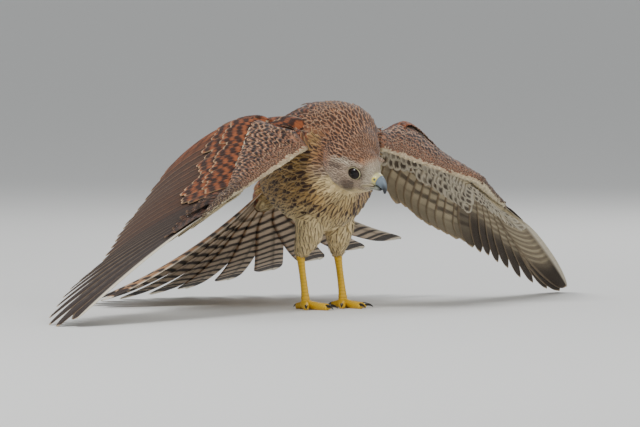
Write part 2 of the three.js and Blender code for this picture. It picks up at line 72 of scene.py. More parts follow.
# Flesh and skin
# Everything soft under the feathers: breast and belly, neck, head, the muscle of both wings, the
# stump of the tail and the thighs. One smooth skin covers them, thinner where feathers stand off.
up = np.array([0.0, 0.0, 1.0])
body_heading = math.radians(-55.0)
forward = np.array([math.cos(body_heading), math.sin(body_heading), 0.0])
left = np.array([-math.sin(body_heading), math.cos(body_heading), 0.0])
sides = {"right": 1.0, "left": -1.0}


def unit(vectors):
    """Vectors at length one."""
    vectors = np.asarray(vectors, float)
    return vectors / np.maximum(np.linalg.norm(vectors, axis=-1, keepdims=True), 1e-9)


def body_point(ahead, aside, height):
    """A place by distance forward, distance to the bird's left and height, in millimetres."""
    return forward * ahead + left * aside + up * height


# Head: the point midway between the eyes, and its directions ahead, to the bird's right and up
head_place = np.array([31.6, -56.0, 100.4])
head_yaw, head_pitch, head_roll = math.radians(-38.0), math.radians(-16.0), math.radians(10.0)


def turn_about(axis, angle):
    """Rotation matrix about the X, Y or Z axis."""
    a, b = [(1, 2), (2, 0), (0, 1)][axis]
    matrix = np.eye(3)
    matrix[a, a] = matrix[b, b] = math.cos(angle)
    matrix[b, a] = math.sin(angle)
    matrix[a, b] = -math.sin(angle)
    return matrix


head_turn = turn_about(2, head_yaw) @ turn_about(1, -head_pitch) @ turn_about(0, head_roll)
head_ahead, head_right, head_up = head_turn[:, 0], -head_turn[:, 1], head_turn[:, 2]
head_axes = np.array([head_ahead, head_right, head_up])
eye_side = 8.6


def head_point(ahead, right, rise):
    """Places on the head by distance ahead of the eyes, to the bird's right and up."""
    parts = np.broadcast_arrays(ahead, right, rise)
    return head_place + np.stack(parts, -1) @ head_axes


# The bird's own origin lies a little off the middle of its footprint
eye_low, eye_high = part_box("eye_right")
footprint_shift = np.array((eye_low + eye_high) / 2) * 1000 - head_point(0.0, eye_side, 0.0)


def into_scene(points):
    """Millimetres in the bird's own frame to metres in the scene."""
    return (np.asarray(points, float) + footprint_shift) * 0.001


def along(keys, place):
    """Smooth value between keyed values, carried straight on past the ends."""
    marks = np.array([key[0] for key in keys], float)
    values = np.array([key[1] for key in keys], float)
    place = np.asarray(place, float)
    last = len(marks) - 1
    low = np.clip(np.searchsorted(marks, place, side="left") - 1, 0, last - 1)
    before = np.maximum(np.arange(last + 1) - 1, 0)
    after = np.minimum(np.arange(last + 1) + 1, last)
    run = marks[after] - marks[before]
    slopes = (values[after] - values[before]) / (run if values.ndim == 1 else run[:, None])
    span = marks[low + 1] - marks[low]
    u = np.clip((place - marks[low]) / span, 0.0, 1.0)
    over = place - np.clip(place, marks[0], marks[last])
    if values.ndim > 1:
        span, u, over = span[..., None], u[..., None], over[..., None]
    inner = ((2 * u**3 - 3 * u**2 + 1) * values[low] + (u**3 - 2 * u**2 + u) * span * slopes[low]
             + (3 * u**2 - 2 * u**3) * values[low + 1] + (u**3 - u**2) * span * slopes[low + 1])
    return inner + over * np.where(over < 0, slopes[0], slopes[last])


def tube_faces(tubes, rings, count):
    """Four-sided faces of tubes made of rings of points."""
    ring = np.arange(rings - 1)[:, None]
    step = np.arange(count)[None, :]
    a = ring * count + step
    b = ring * count + (step + 1) % count
    quads = np.stack([a, b, b + count, a + count], -1).reshape(-1, 4)
    starts = np.arange(tubes)[:, None, None] * rings * count
    return (quads[None] + starts).reshape(-1, 4)


def full_turn(count):
    """Angles spread evenly round a circle."""
    return np.linspace(0.0, 2 * math.pi, count, endpoint=False)


def loft(stations, section, rings, count, inset):
    """Rings of points through keyed sections, drawn in by the coat's depth."""
    keys = [(station[0], station[1:]) for station in stations]
    runs = np.linspace(stations[0][0] + inset, stations[-1][0] - inset, rings)
    return np.array([section(run, value, full_turn(count)) for run, value in zip(runs, along(keys, runs))])


# Stations of the torso: distance ahead, height of the middle, half width, reach up and reach down
torso_stations = [
    (-60, 86, 7, 6, 5), (-50, 89, 18, 13, 15), (-36, 93, 26, 26, 27), (-18, 98, 32, 39, 39),
    (0, 102, 35, 46, 48), (16, 106, 35, 44, 50), (30, 109, 31, 38, 44), (41, 111, 23, 26, 32),
    (47, 112, 11, 12, 16),
]
torso_coat = 4.0


def torso_section(ahead, value, turns):
    """One ring of the torso."""
    height, half, above, below = value
    reach = np.where(np.sin(turns) > 0, above, below) - torso_coat
    return (forward * ahead + left * ((half - torso_coat) * np.cos(turns))[:, None]
            + up * (height + reach * np.sin(turns))[:, None])


torso_rings = loft(torso_stations, torso_section, 60, 72, torso_coat)

# Stations of the neck: distance ahead, distance to the left, height and radius
neck_stations = [(18, 0, 122, 27), (32, -2, 122, 26), (42, -5, 118, 23), (48, -6, 113, 18),
                 (52, -7, 109, 10)]
neck_coat = 3.0


def limb_rings(points, radii, rings, count):
    """Rings square to a path through given points, with a radius at each."""
    marks = np.concatenate([[0.0], np.cumsum(np.linalg.norm(np.diff(points, axis=0), axis=1))])
    runs = np.linspace(0.0, marks[-1], rings)
    path = along(list(zip(marks, points)), runs)
    reach = along(list(zip(marks, radii)), runs)
    ahead = unit(np.gradient(path, axis=0))
    guess = forward if abs(ahead[0][2]) > 0.9 else up
    turns = full_turn(count)
    result = []
    for point, way, radius in zip(path, ahead, reach):
        guess = unit(guess - way * (guess @ way))
        other = np.cross(way, guess)
        result.append(point + radius * (guess * np.cos(turns)[:, None] + other * np.sin(turns)[:, None]))
    return np.array(result)


neck_points = np.array([body_point(*station[:3]) for station in neck_stations])
neck_rings = limb_rings(neck_points, [station[3] - neck_coat for station in neck_stations], 30, 48)

# Stations of the head: distance ahead of the eyes, half width, top and bottom
head_stations = [
    (-27, 6, 5, -8), (-24, 12, 11, -13), (-17, 16, 16, -17.5), (-9, 17.5, 17.8, -19),
    (-1, 14.6, 16.6, -18), (5, 11.4, 13.6, -15.5), (9, 7.8, 8.6, -13), (12, 5.2, 4, -10.4),
]
head_coat = 0.9


def head_section(ahead, value, turns):
    """One ring of the head."""
    half, top, bottom = value
    middle, reach = (top + bottom) / 2, (top - bottom) / 2 - head_coat
    return head_point(ahead, (half - head_coat) * np.cos(turns), middle + reach * np.sin(turns))


head_rings = loft(head_stations, head_section, 48, 56, head_coat)

# Nape, which fills the hollow between the back of the head and the hunched neck
nape_points = np.array([head_point(-6.0, 0.0, 0.0), head_point(-16.0, 0.0, 3.0),
                        body_point(50, -6, 112), body_point(36, -3, 118)])
nape_rings = limb_rings(nape_points, [14.0, 16.5, 18.5, 20.0], 30, 48)

# Brow ridge over each eye, which gives a falcon its stern look
brow_centre, brow_half = (0.5, 11.2, 6.4), (7.5, 2.8, 1.6)


def ball_rings(centre, axes, rings=16, count=20):
    """Rings of an egg with the given half axes."""
    turns = full_turn(count)[:, None]
    return np.array([centre - axes[2] * math.cos(rise)
                     + math.sin(rise) * (axes[0] * np.cos(turns) + axes[1] * np.sin(turns))
                     for rise in np.linspace(0.02, math.pi - 0.02, rings)])


brow_rings = [ball_rings(head_point(brow_centre[0], side * brow_centre[1], brow_centre[2]),
                         head_axes * np.array(brow_half)[:, None]) for side in sides.values()]

# Lids: a low round swelling about each eye
eye_tilt = math.radians(9.0)
lid_swelling = 5.9
eye_ways = {word: unit(head_right * side * math.cos(eye_tilt) + head_ahead * math.sin(eye_tilt))
            for word, side in sides.items()}
eye_centres = {word: head_point(0.0, side * eye_side, 0.0) for word, side in sides.items()}
lid_rings = [ball_rings(centre, np.eye(3) * lid_swelling) for centre in eye_centres.values()]

# Thighs, from inside the flank down to the heel
leg_aside = 18.0
foot_ahead = {"right": 8.0, "left": 3.0}
ankle_height, ankle_back = 40.0, 7.0
shin_heights, shin_radii, shin_inset = (76, 68, 56), (5, 11, 10.5, 4.6), 4.0
shin_coat = 2.4
shin_paths = {}
for word, side in sides.items():
    path = [body_point(foot_ahead[word], -side * leg_aside + side * shin_inset, height)
            for height in shin_heights]
    path.append(body_point(foot_ahead[word] - ankle_back, -side * leg_aside, ankle_height - 1))
    shin_paths[word] = np.array(path)
shin_rings = [limb_rings(path, [max(radius - shin_coat, 2.6) for radius in shin_radii], 24, 32)
              for path in shin_paths.values()]

# Stump of the tail
rump_points = np.array([body_point(ahead, 0, height)
                        for ahead, height in ((-46, 88), (-58, 84), (-68, 77), (-76, 71))])
rump_coat = 3.0
rump_rings = limb_rings(rump_points, [13 - rump_coat, 13 - rump_coat, 11 - rump_coat, 3], 20, 32)

# Wings: joints of the arm, and the directions in which the feathers point at key places,
# which count from -20.5 on the shoulder over 0 at the wrist to 10 at the last primary
hand_length, scapular_rise = 48.0, 15.0
wing_joints = {
    "right": {"shoulder": (-8, -40, 116), "elbow": (-36, -20, 135), "wrist": (-53, -78, 90),
              "hand": (-0.48, -0.8, -0.35), "scapular": (-0.66, 0.74, 0.02),
              "tertial": (-0.86, 0.46, -0.08), "inner": (-0.77, 0.5, -0.36),
              "middle": (-0.88, -0.12, -0.45), "outer": (-0.47, -0.8, -0.357)},
    "left": {"shoulder": (43, -4, 114), "elbow": (66, 34, 130), "wrist": (111, 38, 90),
             "hand": (0.42, 0.83, -0.36), "scapular": (-0.55, 0.83, -0.04),
             "tertial": (-0.42, 0.86, -0.22), "inner": (-0.36, 0.83, -0.42),
             "middle": (-0.04, 0.9, -0.44), "outer": (0.286, 0.888, -0.366)},
}
flight_lengths = [(-20, 54), (-15, 74), (-12, 88), (-8, 99), (-4, 106), (0, 112), (2, 120),
                  (5, 150), (7, 178), (8, 190), (9, 196), (10, 187)]
camber_keys = [(-20, 5), (-16, 7), (-10, 10), (0, 7), (10, 4)]


class FeatherSheet:
    """The surface on which a row of feathers lies, by place along the row and share of length."""

    step = 0.02

    def __init__(self, at):
        self.at = at

    def normal(self, place, share):
        """The way up, square to the sheet."""
        step = self.step
        across = self.at(place + step, share) - self.at(place - step, share)
        onward = self.at(place, share + step) - self.at(place, share - step)
        square = unit(np.cross(across, onward))
        return np.where(square[..., 2:] < 0, -square, square)

    def spacing(self, place, share):
        """Distance from one place in the row to the next."""
        across = self.at(place + self.step, share) - self.at(place - self.step, share)
        return np.linalg.norm(across, axis=-1) / (2 * self.step)


def wing_sheet(word):
    """The sheet of one wing, hung on the joints of its arm."""
    joints = {name: np.array(place, float) for name, place in wing_joints[word].items()}
    outward = unit(joints["hand"])
    hand_end = joints["wrist"] + outward * hand_length
    inward = left * sides[word]
    shoulder, elbow, wrist = joints["shoulder"], joints["elbow"], joints["wrist"]
    roots = [
        (-20.5, shoulder + inward * 5 - forward * 8 + up * scapular_rise),
        (-16, elbow + (shoulder - elbow) * 0.55), (-12, elbow), (-6, (elbow + wrist) / 2),
        (0.5, wrist), (5, (wrist + hand_end) / 2), (10, hand_end),
    ]
    ways = [(-20.5, unit(joints["scapular"])), (-16, unit(joints["tertial"])),
            (-12, unit(joints["inner"])), (0, unit(joints["middle"])), (10, unit(joints["outer"]))]

    def at(place, share):
        place, share = np.broadcast_arrays(np.asarray(place, float), np.asarray(share, float))
        arch = along(camber_keys, place) * 4 * share * (1 - share)
        reach = along(flight_lengths, place) * share
        return along(roots, place) + unit(along(ways, place)) * reach[..., None] + up * arch[..., None]

    sheet = FeatherSheet(at)
    sheet.joints, sheet.hand_end, sheet.ways = joints, hand_end, ways
    return sheet


wing_sheets = {word: wing_sheet(word) for word in sides}
wing_coat_keys = [(-16, 3.0), (-8, 2.2), (0, 1.4), (10, 0.6)]
wing_depths = [(-16, 13), (-10, 11), (0, 9), (10, 4)]
core_places = np.linspace(-15.5, 10.3, 44)


def wing_core_rings(word):
    """Muscle and bone of a wing from its leading edge back past the feather roots."""
    sheet = wing_sheets[word]
    joints = sheet.joints
    shoulder, wrist = joints["shoulder"], joints["wrist"]
    edge = [(-16, shoulder), (-12, shoulder + (wrist - shoulder) * 0.25),
            (-6, shoulder + (wrist - shoulder) * 0.68), (-1, wrist + (sheet.hand_end - wrist) * 0.02),
            (10, sheet.hand_end)]
    turns = full_turn(40)
    rings = []
    for place in core_places:
        coat = float(along(wing_coat_keys, place))
        front = along(edge, place)
        back = sheet.at(place, 15 / along(flight_lengths, place))
        ahead = unit(back - front)
        front = front - ahead * 5
        half = (back - front) / 2 - ahead * coat
        depth = float(along(wing_depths, place)) - 2 * coat * 0.6
        square = sheet.normal(place, 0.02)
        rise = 0.5 * depth * np.sin(turns) + 0.3 * depth * np.sin(turns) ** 2
        rings.append((front + back) / 2 + np.cos(turns)[:, None] * half + rise[:, None] * square)
    root_middle = shoulder + left * sides[word] * 16 - forward * 14
    root = root_middle + 20 * forward * np.cos(turns)[:, None] + 10 * up * np.sin(turns)[:, None]
    return np.array([root] + rings)


wing_rings = {word: wing_core_rings(word) for word in sides}

# All parts as closed tubes in one mesh, which is then made into one skin
flesh_parts = [torso_rings, neck_rings, nape_rings, head_rings, rump_rings, *brow_rings, *lid_rings,
               *shin_rings, *wing_rings.values()]
flesh_points, flesh_faces, flesh_start = [], [], 0
for rings in flesh_parts:
    ring_count, point_count = rings.shape[:2]
    flesh_points.append(rings.reshape(-1, 3))
    flesh_points.append(rings[[0, -1]].mean(axis=1))
    flesh_faces.extend((tube_faces(1, ring_count, point_count) + flesh_start).tolist())
    hub = flesh_start + ring_count * point_count
    end = hub - point_count
    for k in range(point_count):
        after = (k + 1) % point_count
        flesh_faces.append([flesh_start + after, flesh_start + k, hub])
        flesh_faces.append([end + k, end + after, hub + 1])
    flesh_start = hub + 2
flesh_mesh = bpy.data.meshes.new("flesh")
flesh_mesh.from_pydata(into_scene(np.concatenate(flesh_points)).tolist(), [], flesh_faces)
flesh = put_in_scene("flesh", flesh_mesh)
skin_grain = 0.0013
remesh = flesh.modifiers.new("one skin", "REMESH")
remesh.mode = "VOXEL"
remesh.voxel_size = skin_grain
settle = flesh.modifiers.new("smooth", "SMOOTH")
settle.factor = 0.5
settle.iterations = 6
skin_mesh = bpy.data.meshes.new_from_object(flesh.evaluated_get(bpy.context.evaluated_depsgraph_get()))
skin_mesh.name = "skin"
bpy.data.objects.remove(flesh)
skin = put_in_scene("skin", skin_mesh)
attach(skin, "root")
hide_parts("torso", "neck", "head", "shin_right", "shin_left", "wing_right", "wing_left", "tail")

skin_points = np.empty(len(skin_mesh.vertices) * 3)
skin_mesh.vertices.foreach_get("co", skin_points)
skin_points = skin_points.reshape(-1, 3) * 1000 - footprint_shift

# Eye sockets: the skin dips behind each eyeball
socket_radius, socket_edge, socket_depth = 4.3, 5.2, 2.4
for word, way in eye_ways.items():
    offset = skin_points - eye_centres[word]
    outward = offset @ way
    from_axis = np.linalg.norm(offset - outward[:, None] * way, axis=1)
    inside = (outward > 0.0) & (from_axis < socket_edge)
    share = np.clip((socket_edge - from_axis) / (socket_edge - socket_radius), 0, 1)
    skin_points[inside] -= ((socket_depth * share)[:, None] * way)[inside]
skin_mesh.vertices.foreach_set("co", into_scene(skin_points).astype(np.float32).ravel())
skin_mesh.update()
skin_mesh.polygons.foreach_set("use_smooth", np.ones(len(skin_mesh.polygons), bool))

bpy.context.view_layer.objects.active = skin
skin.select_set(True)
bpy.ops.object.mode_set(mode="EDIT")
bpy.ops.mesh.select_all(action="SELECT")
bpy.ops.uv.smart_project(angle_limit=math.radians(70), island_margin=0.002)
bpy.ops.object.mode_set(mode="OBJECT")
skin_mesh.uv_layers[0].name = "OFBake"

# Plumage: what grows where
# The same plan gives the skin its colours and every small feather its direction, size and marks.
# It goes by the part of the body and the place on it, as on a young female of the species.


def linear(hex_colour):
    """A colour as red, green and blue in light."""
    values = np.array([int(hex_colour[i:i + 2], 16) / 255 for i in (1, 3, 5)])
    return np.where(values <= 0.04045, values / 12.92, ((values + 0.055) / 1.055) ** 2.4)


rufous, rufous_bright = linear("#9c5b3a"), linear("#91512f")
crown_brown, nape_brown = linear("#b98560"), linear("#aa7552")
dark_brown, bar_black = linear("#38261f"), linear("#241917")
# The buff of the breast and belly is its real colour darkened with painted shade.
buff, cream, cheek_grey = linear("#b38f57"), linear("#efe4cc"), linear("#b7a18a")
vent_buff, fringe_buff = linear("#dcc594"), linear("#dcb990")
face_cream = linear("#d3c6ae")
shoulder_rufous, hand_brown = linear("#a67558"), linear("#57463c")
under_cream, under_mark = linear("#dccca8"), linear("#5b4a3c")

parts = ["torso", "neck", "head", "rump", "shin", "wing"]
guides = []


def add_guide(rings, part, ways, place=0.0, side=0.0, front=0.0):
    """Keeps the lie of the feathers over one part of the flesh."""
    points = rings.reshape(-1, 3)
    count = len(points)
    guides.append((points, np.full(count, parts.index(part)), np.broadcast_to(ways, points.shape),
                   np.broadcast_to(place, count), np.full(count, side), np.broadcast_to(front, count)))


add_guide(torso_rings, "torso", -forward)
add_guide(neck_rings, "neck", -forward)
add_guide(nape_rings, "neck", -forward)
add_guide(head_rings, "head", -head_ahead)
add_guide(rump_rings, "rump", unit(-forward * 0.8 - up * 0.6))
for rings in shin_rings:
    add_guide(rings, "shin", -up)
# The first ring of a wing lies inside the shoulder and counts as part of the next one
wing_run = np.concatenate([core_places[:1], core_places])
for word, rings in wing_rings.items():
    ways = unit(along(wing_sheets[word].ways, wing_run))
    count = rings.shape[1]
    add_guide(rings, "wing", np.repeat(ways, count, axis=0), np.repeat(wing_run, count), sides[word],
              np.tile(-np.cos(full_turn(count)), len(rings)))
guide_points, guide_part, guide_way, guide_place, guide_side, guide_front = (
    np.concatenate(column) for column in zip(*guides))
guide_tree = KDTree(len(guide_points))
for i, point in enumerate(guide_points):
    guide_tree.insert(point, i)
guide_tree.balance()


def ease(low, high, value):
    """A smooth rise from nothing at the low value to one at the high one."""
    u = np.clip((value - low) / (high - low), 0.0, 1.0)
    return u * u * (3 - 2 * u)


def within(value, start, full, fading, end):
    """One between two values and nothing past them, with a smooth rise and fall."""
    return ease(start, full, value) * ease(end, fading, value)


def between(first, second, share):
    """A size between two sizes."""
    return first + (second - first) * share


def blend(first, second, share):
    """A mix of two colours or directions, with a share for each place."""
    return first + (second - first) * np.asarray(share)[..., None]


def plumage(points, normals):
    """Direction, size, colour and marks of the feathers at places on the skin."""
    nearest = np.array([guide_tree.find(point)[1] for point in points])
    part, way = guide_part[nearest], guide_way[nearest]
    place, side, to_edge = guide_place[nearest], guide_side[nearest], guide_front[nearest]
    torso, neck, head, rump, thigh, wing = (part == i for i in range(len(parts)))
    ahead, aside, height = points @ forward, points @ left, points[:, 2]
    front, top = np.clip(normals @ forward, 0, 1), normals[:, 2]

    # Torso: rufous and barred above, buff with dark streaks below, a few raised tips on the hump
    torso_way = (-forward * (1 - 0.65 * front)[:, None]
                 - up * (0.18 + 0.9 * front + 0.25 * np.clip(1 - np.abs(top), 0, 1))[:, None])
    from_head = points - head_place
    close_by = 0.85 * (1 - ease(28.0, 90.0, np.linalg.norm(from_head, axis=1)))
    torso_way = blend(unit(torso_way), unit(from_head), close_by)
    way = np.where((torso | neck)[:, None], torso_way, way)
    above = ease(-0.05, 0.35, top + 0.012 * (height - 118))
    around = np.arctan2(aside, height - 100.0)
    stripe = ease(-0.35, 0.45, np.sin(38.0 * around + 1.6 * np.sin(0.11 * ahead)))
    stripe = stripe * ease(-0.9, -0.2, np.sin(0.17 * ahead + 9.0 * around)) * (1 - above)
    stripe = stripe * ease(62, 76, height) * ease(-62, -30, ahead)
    fine_streak = 0.22 * (1 - above) * ease(62, 80, height) * ease(-62, -30, ahead)
    hump = above * ease(24.0, 8.0, np.abs(ahead + 12.0)) * ease(20, 8, np.abs(aside))
    # The buff below carries painted shade.
    colour = blend(blend(buff, vent_buff, ease(86, 66, height)), rufous, above)
    colour = blend(colour, dark_brown, 0.3 * stripe)
    mark = blend(dark_brown, bar_black, above)
    edge = blend(vent_buff, fringe_buff, above)
    plan = {"length": between(13.0, 15.0, above) + 7.0 * hump, "width": between(2.8, 3.3, above),
            "spread": between(2.3, 2.6, above), "stand": between(2.6, 3.2, above) + 7.0 * hump,
            "streak": fine_streak + 0.26 * stripe, "bars": above, "fringe": between(0.25, 0.9, above)}

    def grow(share, **sizes):
        for name, size in sizes.items():
            plan[name] = between(plan[name], size, share)

    # Neck: narrow feathers between the head's streaks and the body's marks
    neck_top = neck * ease(0.0, 0.5, top + 0.01 * (height - 116))
    colour = blend(colour, nape_brown, neck_top)
    grow(neck, length=10.5, width=2.1, spread=1.9, stand=2.2)
    grow(neck_top, bars=0.2, streak=0.44, fringe=0.7)

    # Head: tiny on the face, growing over crown and cheek to the nape
    on_head = (points - head_place) @ head_axes.T
    to_bill, out, rise = on_head[:, 0], np.abs(on_head[:, 1]), on_head[:, 2]
    near_head = 1 - ease(20.0, 33.0, np.linalg.norm(on_head - np.array([-7.0, 0, 0]), axis=1))
    near_head = np.maximum(np.where(wing | thigh | rump, 0.0, near_head), head)
    from_bill = unit(points - head_point(13.0, 0.0, -4.0))
    way = np.where(near_head[:, None] > 0, blend(unit(way), from_bill, near_head), way)
    crown = ease(4.2, 7.6, rise + 0.12 * to_bill)
    face = ease(4.5, 9.5, to_bill) * ease(11.0, 6.0, rise)
    throat = ease(-9.0, -13.5, rise) * ease(14.0, 8.0, out)
    nape = ease(-12, -20, to_bill) * ease(-10, 0, rise)
    brow = within(to_bill, -13, -7, 5, 8) * within(rise, 4.0, 5.6, 7.0, 9.0) * ease(8, 11, out)
    eye_stripe = within(to_bill, -16, -12, -7, -4.5) * within(rise, -1.5, 0.3, 2.8, 4.6)
    moustache = within(to_bill - 0.25 * (rise + 6), -5.5, -2.5, 1.6, 4.2)
    moustache = moustache * within(rise, -18.5, -14.0, -6.5, -4.0) * ease(6.0, 9.0, out)
    lore = within(to_bill, 4.0, 6.0, 7.5, 9.5) * within(rise, -4.5, -2.5, 0.0, 1.5)
    head_tone = cheek_grey
    for hue, share in ((crown_brown, crown), (nape_brown, nape), (vent_buff, throat),
                       (face_cream, 0.75 * brow), (face_cream, 0.75 * face),
                       (dark_brown, 0.65 * eye_stripe), (dark_brown, 0.62 * moustache),
                       (dark_brown, 0.35 * lore)):
        head_tone = blend(head_tone, hue, share)
    colour = blend(colour, head_tone, near_head)
    mark = blend(mark, dark_brown, near_head)
    edge = blend(edge, blend(head_tone * 1.05, face_cream, 0.45 * crown), near_head)
    crown_only, to_nape = crown * (1 - face), ease(8.0, -18.0, to_bill)

    def head_size(at_bill, at_cheek, at_forehead, at_nape):
        on_face, on_crown = between(at_bill, at_cheek, to_nape), between(at_forehead, at_nape, to_nape)
        return between(on_face, on_crown, crown_only)

    grow(near_head, length=head_size(2.4, 6.5, 3.6, 8.0), width=head_size(0.6, 1.5, 1.0, 1.9),
         spread=head_size(0.6, 1.35, 1.0, 1.7), stand=between(0.22, 1.1, to_nape),
         streak=between(0.08 + 0.24 * ease(3.0, -9.0, to_bill), 0.5, crown_only) * (1 - throat),
         bars=0.0, fringe=0.7 * crown)

    # Thighs: plain buff with thin streaks
    colour = blend(colour, vent_buff, thigh)
    grow(thigh, length=between(11.0, 18.0, ease(58, 40, height)), width=2.4, spread=1.9, stand=2.6,
         streak=0.16, bars=0.0, fringe=0.2)

    # Root of the tail: barred above, plain below
    colour = blend(colour, np.where(top[:, None] > 0.1, rufous, vent_buff), rump)
    grow(rump, length=24.0, width=5.0, spread=3.6, stand=2.4, streak=0.0, bars=np.where(top > 0.1, 0.8, 0.0))

    # Wing: rufous coverts above, cream along the leading edge, spotted buff below
    wing_top = np.zeros(len(points))
    for word, sign in sides.items():
        here = wing & (side == sign)
        square = wing_sheets[word].normal(place[here], 0.05)
        wing_top[here] = np.einsum("ij,ij->i", normals[here], square)
    wing_top = ease(-0.1, 0.25, wing_top)
    is_above = wing_top[:, None] > 0.5
    leading = ease(0.9, 0.98, to_edge)
    marginal = np.maximum(ease(0.45, 0.9, to_edge), 0.75 * ease(-4.0, 2.0, place))
    upper_wing = blend(shoulder_rufous, hand_brown, 0.75 * ease(-2.0, 1.5, place))
    colour = blend(colour, blend(under_cream, upper_wing, wing_top * (1 - leading)), wing)
    mark = blend(mark, np.where(is_above, bar_black, under_mark), wing)
    edge = blend(edge, np.where(is_above, fringe_buff, cream), wing)
    grow(wing, length=between(11.0, 3.4 - 0.6 * leading, marginal),
         width=between(3.0, 1.0 - 0.2 * leading, marginal),
         spread=between(2.4, 1.05 - 0.15 * leading, marginal),
         stand=between(1.5, 0.4 - 0.3 * leading, marginal), streak=0.0,
         bars=between(0.35, 1.0, wing_top) * (1 - leading), fringe=0.8)
    lie = unit(way - normals * np.einsum("ij,ij->i", way, normals)[:, None])
    plan.update(colour=colour, mark=mark, edge=edge, part=part, way=lie)
    return plan


def paint_points(mesh, tint):
    """Keeps a colour on each point of a mesh."""
    colours = np.ones((len(mesh.vertices), 4), np.float32)
    colours[:, :3] = tint
    layer = mesh.color_attributes.new("tint", "FLOAT_COLOR", "POINT")
    layer.data.foreach_set("color", colours.ravel())


skin_normals = np.empty(len(skin_mesh.vertices) * 3)
skin_mesh.vertices.foreach_get("normal", skin_normals)
skin_plan = plumage(skin_points, skin_normals.reshape(-1, 3))
# The skin is a little darker than the feathers, as their shade falls on it
paint_points(skin_mesh, skin_plan["colour"] * 0.8)


def tinted_material(name, grain_scale, grain_detail, surface):
    """A material of the painted tint times a shade still to be linked, and the fine grain to link."""
    material = bpy.data.materials.new(name)
    material.use_nodes = True
    nodes, links = material.node_tree.nodes, material.node_tree.links
    shader = nodes["Principled BSDF"]
    for socket, value in surface.items():
        shader.inputs[socket].default_value = value
    tint = nodes.new("ShaderNodeAttribute")
    tint.attribute_name = "tint"
    place = nodes.new("ShaderNodeTexCoord")
    grain = nodes.new("ShaderNodeTexNoise")
    grain.inputs["Scale"].default_value = grain_scale
    grain.inputs["Detail"].default_value = grain_detail
    links.new(place.outputs["Object"], grain.inputs["Vector"])
    mix = nodes.new("ShaderNodeMix")
    mix.data_type = "RGBA"
    mix.blend_type = "MULTIPLY"
    mix.inputs["Factor"].default_value = 1.0
    links.new(tint.outputs["Color"], mix.inputs["A"])
    links.new(mix.outputs["Result"], shader.inputs["Base Color"])
    return material, grain.outputs["Fac"], mix.inputs["B"]


def add_relief(material, height, strength, depth):
    """Fine relief on the surface of a material."""
    nodes, links = material.node_tree.nodes, material.node_tree.links
    bump = nodes.new("ShaderNodeBump")
    bump.inputs["Strength"].default_value = strength
    bump.inputs["Distance"].default_value = depth
    links.new(height, bump.inputs["Height"])
    links.new(bump.outputs["Normal"], nodes["Principled BSDF"].inputs["Normal"])


def plumage_material(name, barbs_per_unit, bump_depth, roughness=0.72, shine=0.2, sheen=0.2):
    """Soft matt feather: the painted tint, broken up by barbs and by small uneven patches."""
    surface = {"Roughness": roughness, "Specular IOR Level": shine, "Sheen Weight": sheen,
               "Sheen Roughness": 0.5}
    material, patches, shade_socket = tinted_material(name, 420.0, 3.0, surface)
    nodes, links = material.node_tree.nodes, material.node_tree.links
    vane_places = nodes.new("ShaderNodeUVMap")
    vane_places.uv_map = "Vane"
    vane = nodes.new("ShaderNodeSeparateXYZ")
    links.new(vane_places.outputs["UV"], vane.inputs["Vector"])

    def math_node(operation, first, second):
        node = nodes.new("ShaderNodeMath")
        node.operation = operation
        for socket, value in zip(node.inputs, (first, second)):
            if isinstance(value, (int, float)):
                socket.default_value = value
            else:
                links.new(value, socket)
        return node.outputs["Value"]

    from_shaft = math_node("ABSOLUTE", math_node("SUBTRACT", vane.outputs["X"], 0.5), 0.0)
    run = math_node("SUBTRACT", vane.outputs["Y"], math_node("MULTIPLY", from_shaft, 7.0))
    barbs = math_node("SINE", math_node("MULTIPLY", run, barbs_per_unit * 2 * math.pi), 0.0)
    uneven = math_node("ADD", math_node("MULTIPLY", barbs, 0.05), math_node("MULTIPLY", patches, 0.36))
    links.new(math_node("ADD", uneven, 0.82), shade_socket)
    add_relief(material, barbs, 0.35, bump_depth)
    return material


skin.data.materials.append(plumage_material("downy skin", 0.0, 0.0001))

# Eyes
# Two dark brown balls with a black pupil under a clear wet cornea. Each sits deep in its socket,
# held by a rim of bare skin, black at the edge and yellowish outside it.
eye_radius, cornea_radius, iris_radius, pupil_radius = 5.6, 4.6, 3.9, 2.3
lid_inner, lid_outer, lid_height = 4.1, 5.0, 0.93
iris_brown, rim_black, rim_yellow = linear("#150b08"), linear("#0b0908"), linear("#a59d76")


def make_piece(name, points, faces, tint, maps=None):
    """A smooth-shaded piece from points in millimetres, with its colours and maps."""
    mesh = bpy.data.meshes.new(name)
    faces = np.asarray(faces, np.int32)
    corners_of_face = faces.shape[1]
    mesh.vertices.add(len(points))
    mesh.vertices.foreach_set("co", into_scene(points).astype(np.float32).ravel())
    mesh.loops.add(faces.size)
    mesh.loops.foreach_set("vertex_index", faces.ravel())
    mesh.polygons.add(len(faces))
    mesh.polygons.foreach_set("loop_start", np.arange(len(faces), dtype=np.int32) * corners_of_face)
    mesh.polygons.foreach_set("use_smooth", np.ones(len(faces), bool))
    mesh.update(calc_edges=True)
    paint_points(mesh, tint)
    for map_name, places in (maps or {}).items():
        layer = mesh.uv_layers.new(name=map_name)
        layer.data.foreach_set("uv", np.asarray(places, np.float32).ravel())
    piece = put_in_scene(name, mesh)
    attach(piece, "root")
    return piece


def simple_material(name, roughness, coat=0.0, bumps=0.0, bump_scale=900.0, bump_depth=0.0002, shine=0.5):
    """A painted tint with a gloss, small uneven patches and fine bumps."""
    surface = {"Roughness": roughness, "Specular IOR Level": shine, "Coat Weight": coat,
               "Coat Roughness": 0.04}
    material, grain, shade_socket = tinted_material(name, bump_scale, 4.0, surface)
    links = material.node_tree.links
    span = material.node_tree.nodes.new("ShaderNodeMapRange")
    span.inputs["To Min"].default_value = 0.86
    span.inputs["To Max"].default_value = 1.14
    links.new(grain, span.inputs["Value"])
    links.new(span.outputs["Result"], shade_socket)
    if bumps:
        add_relief(material, grain, bumps, bump_depth)
    return material


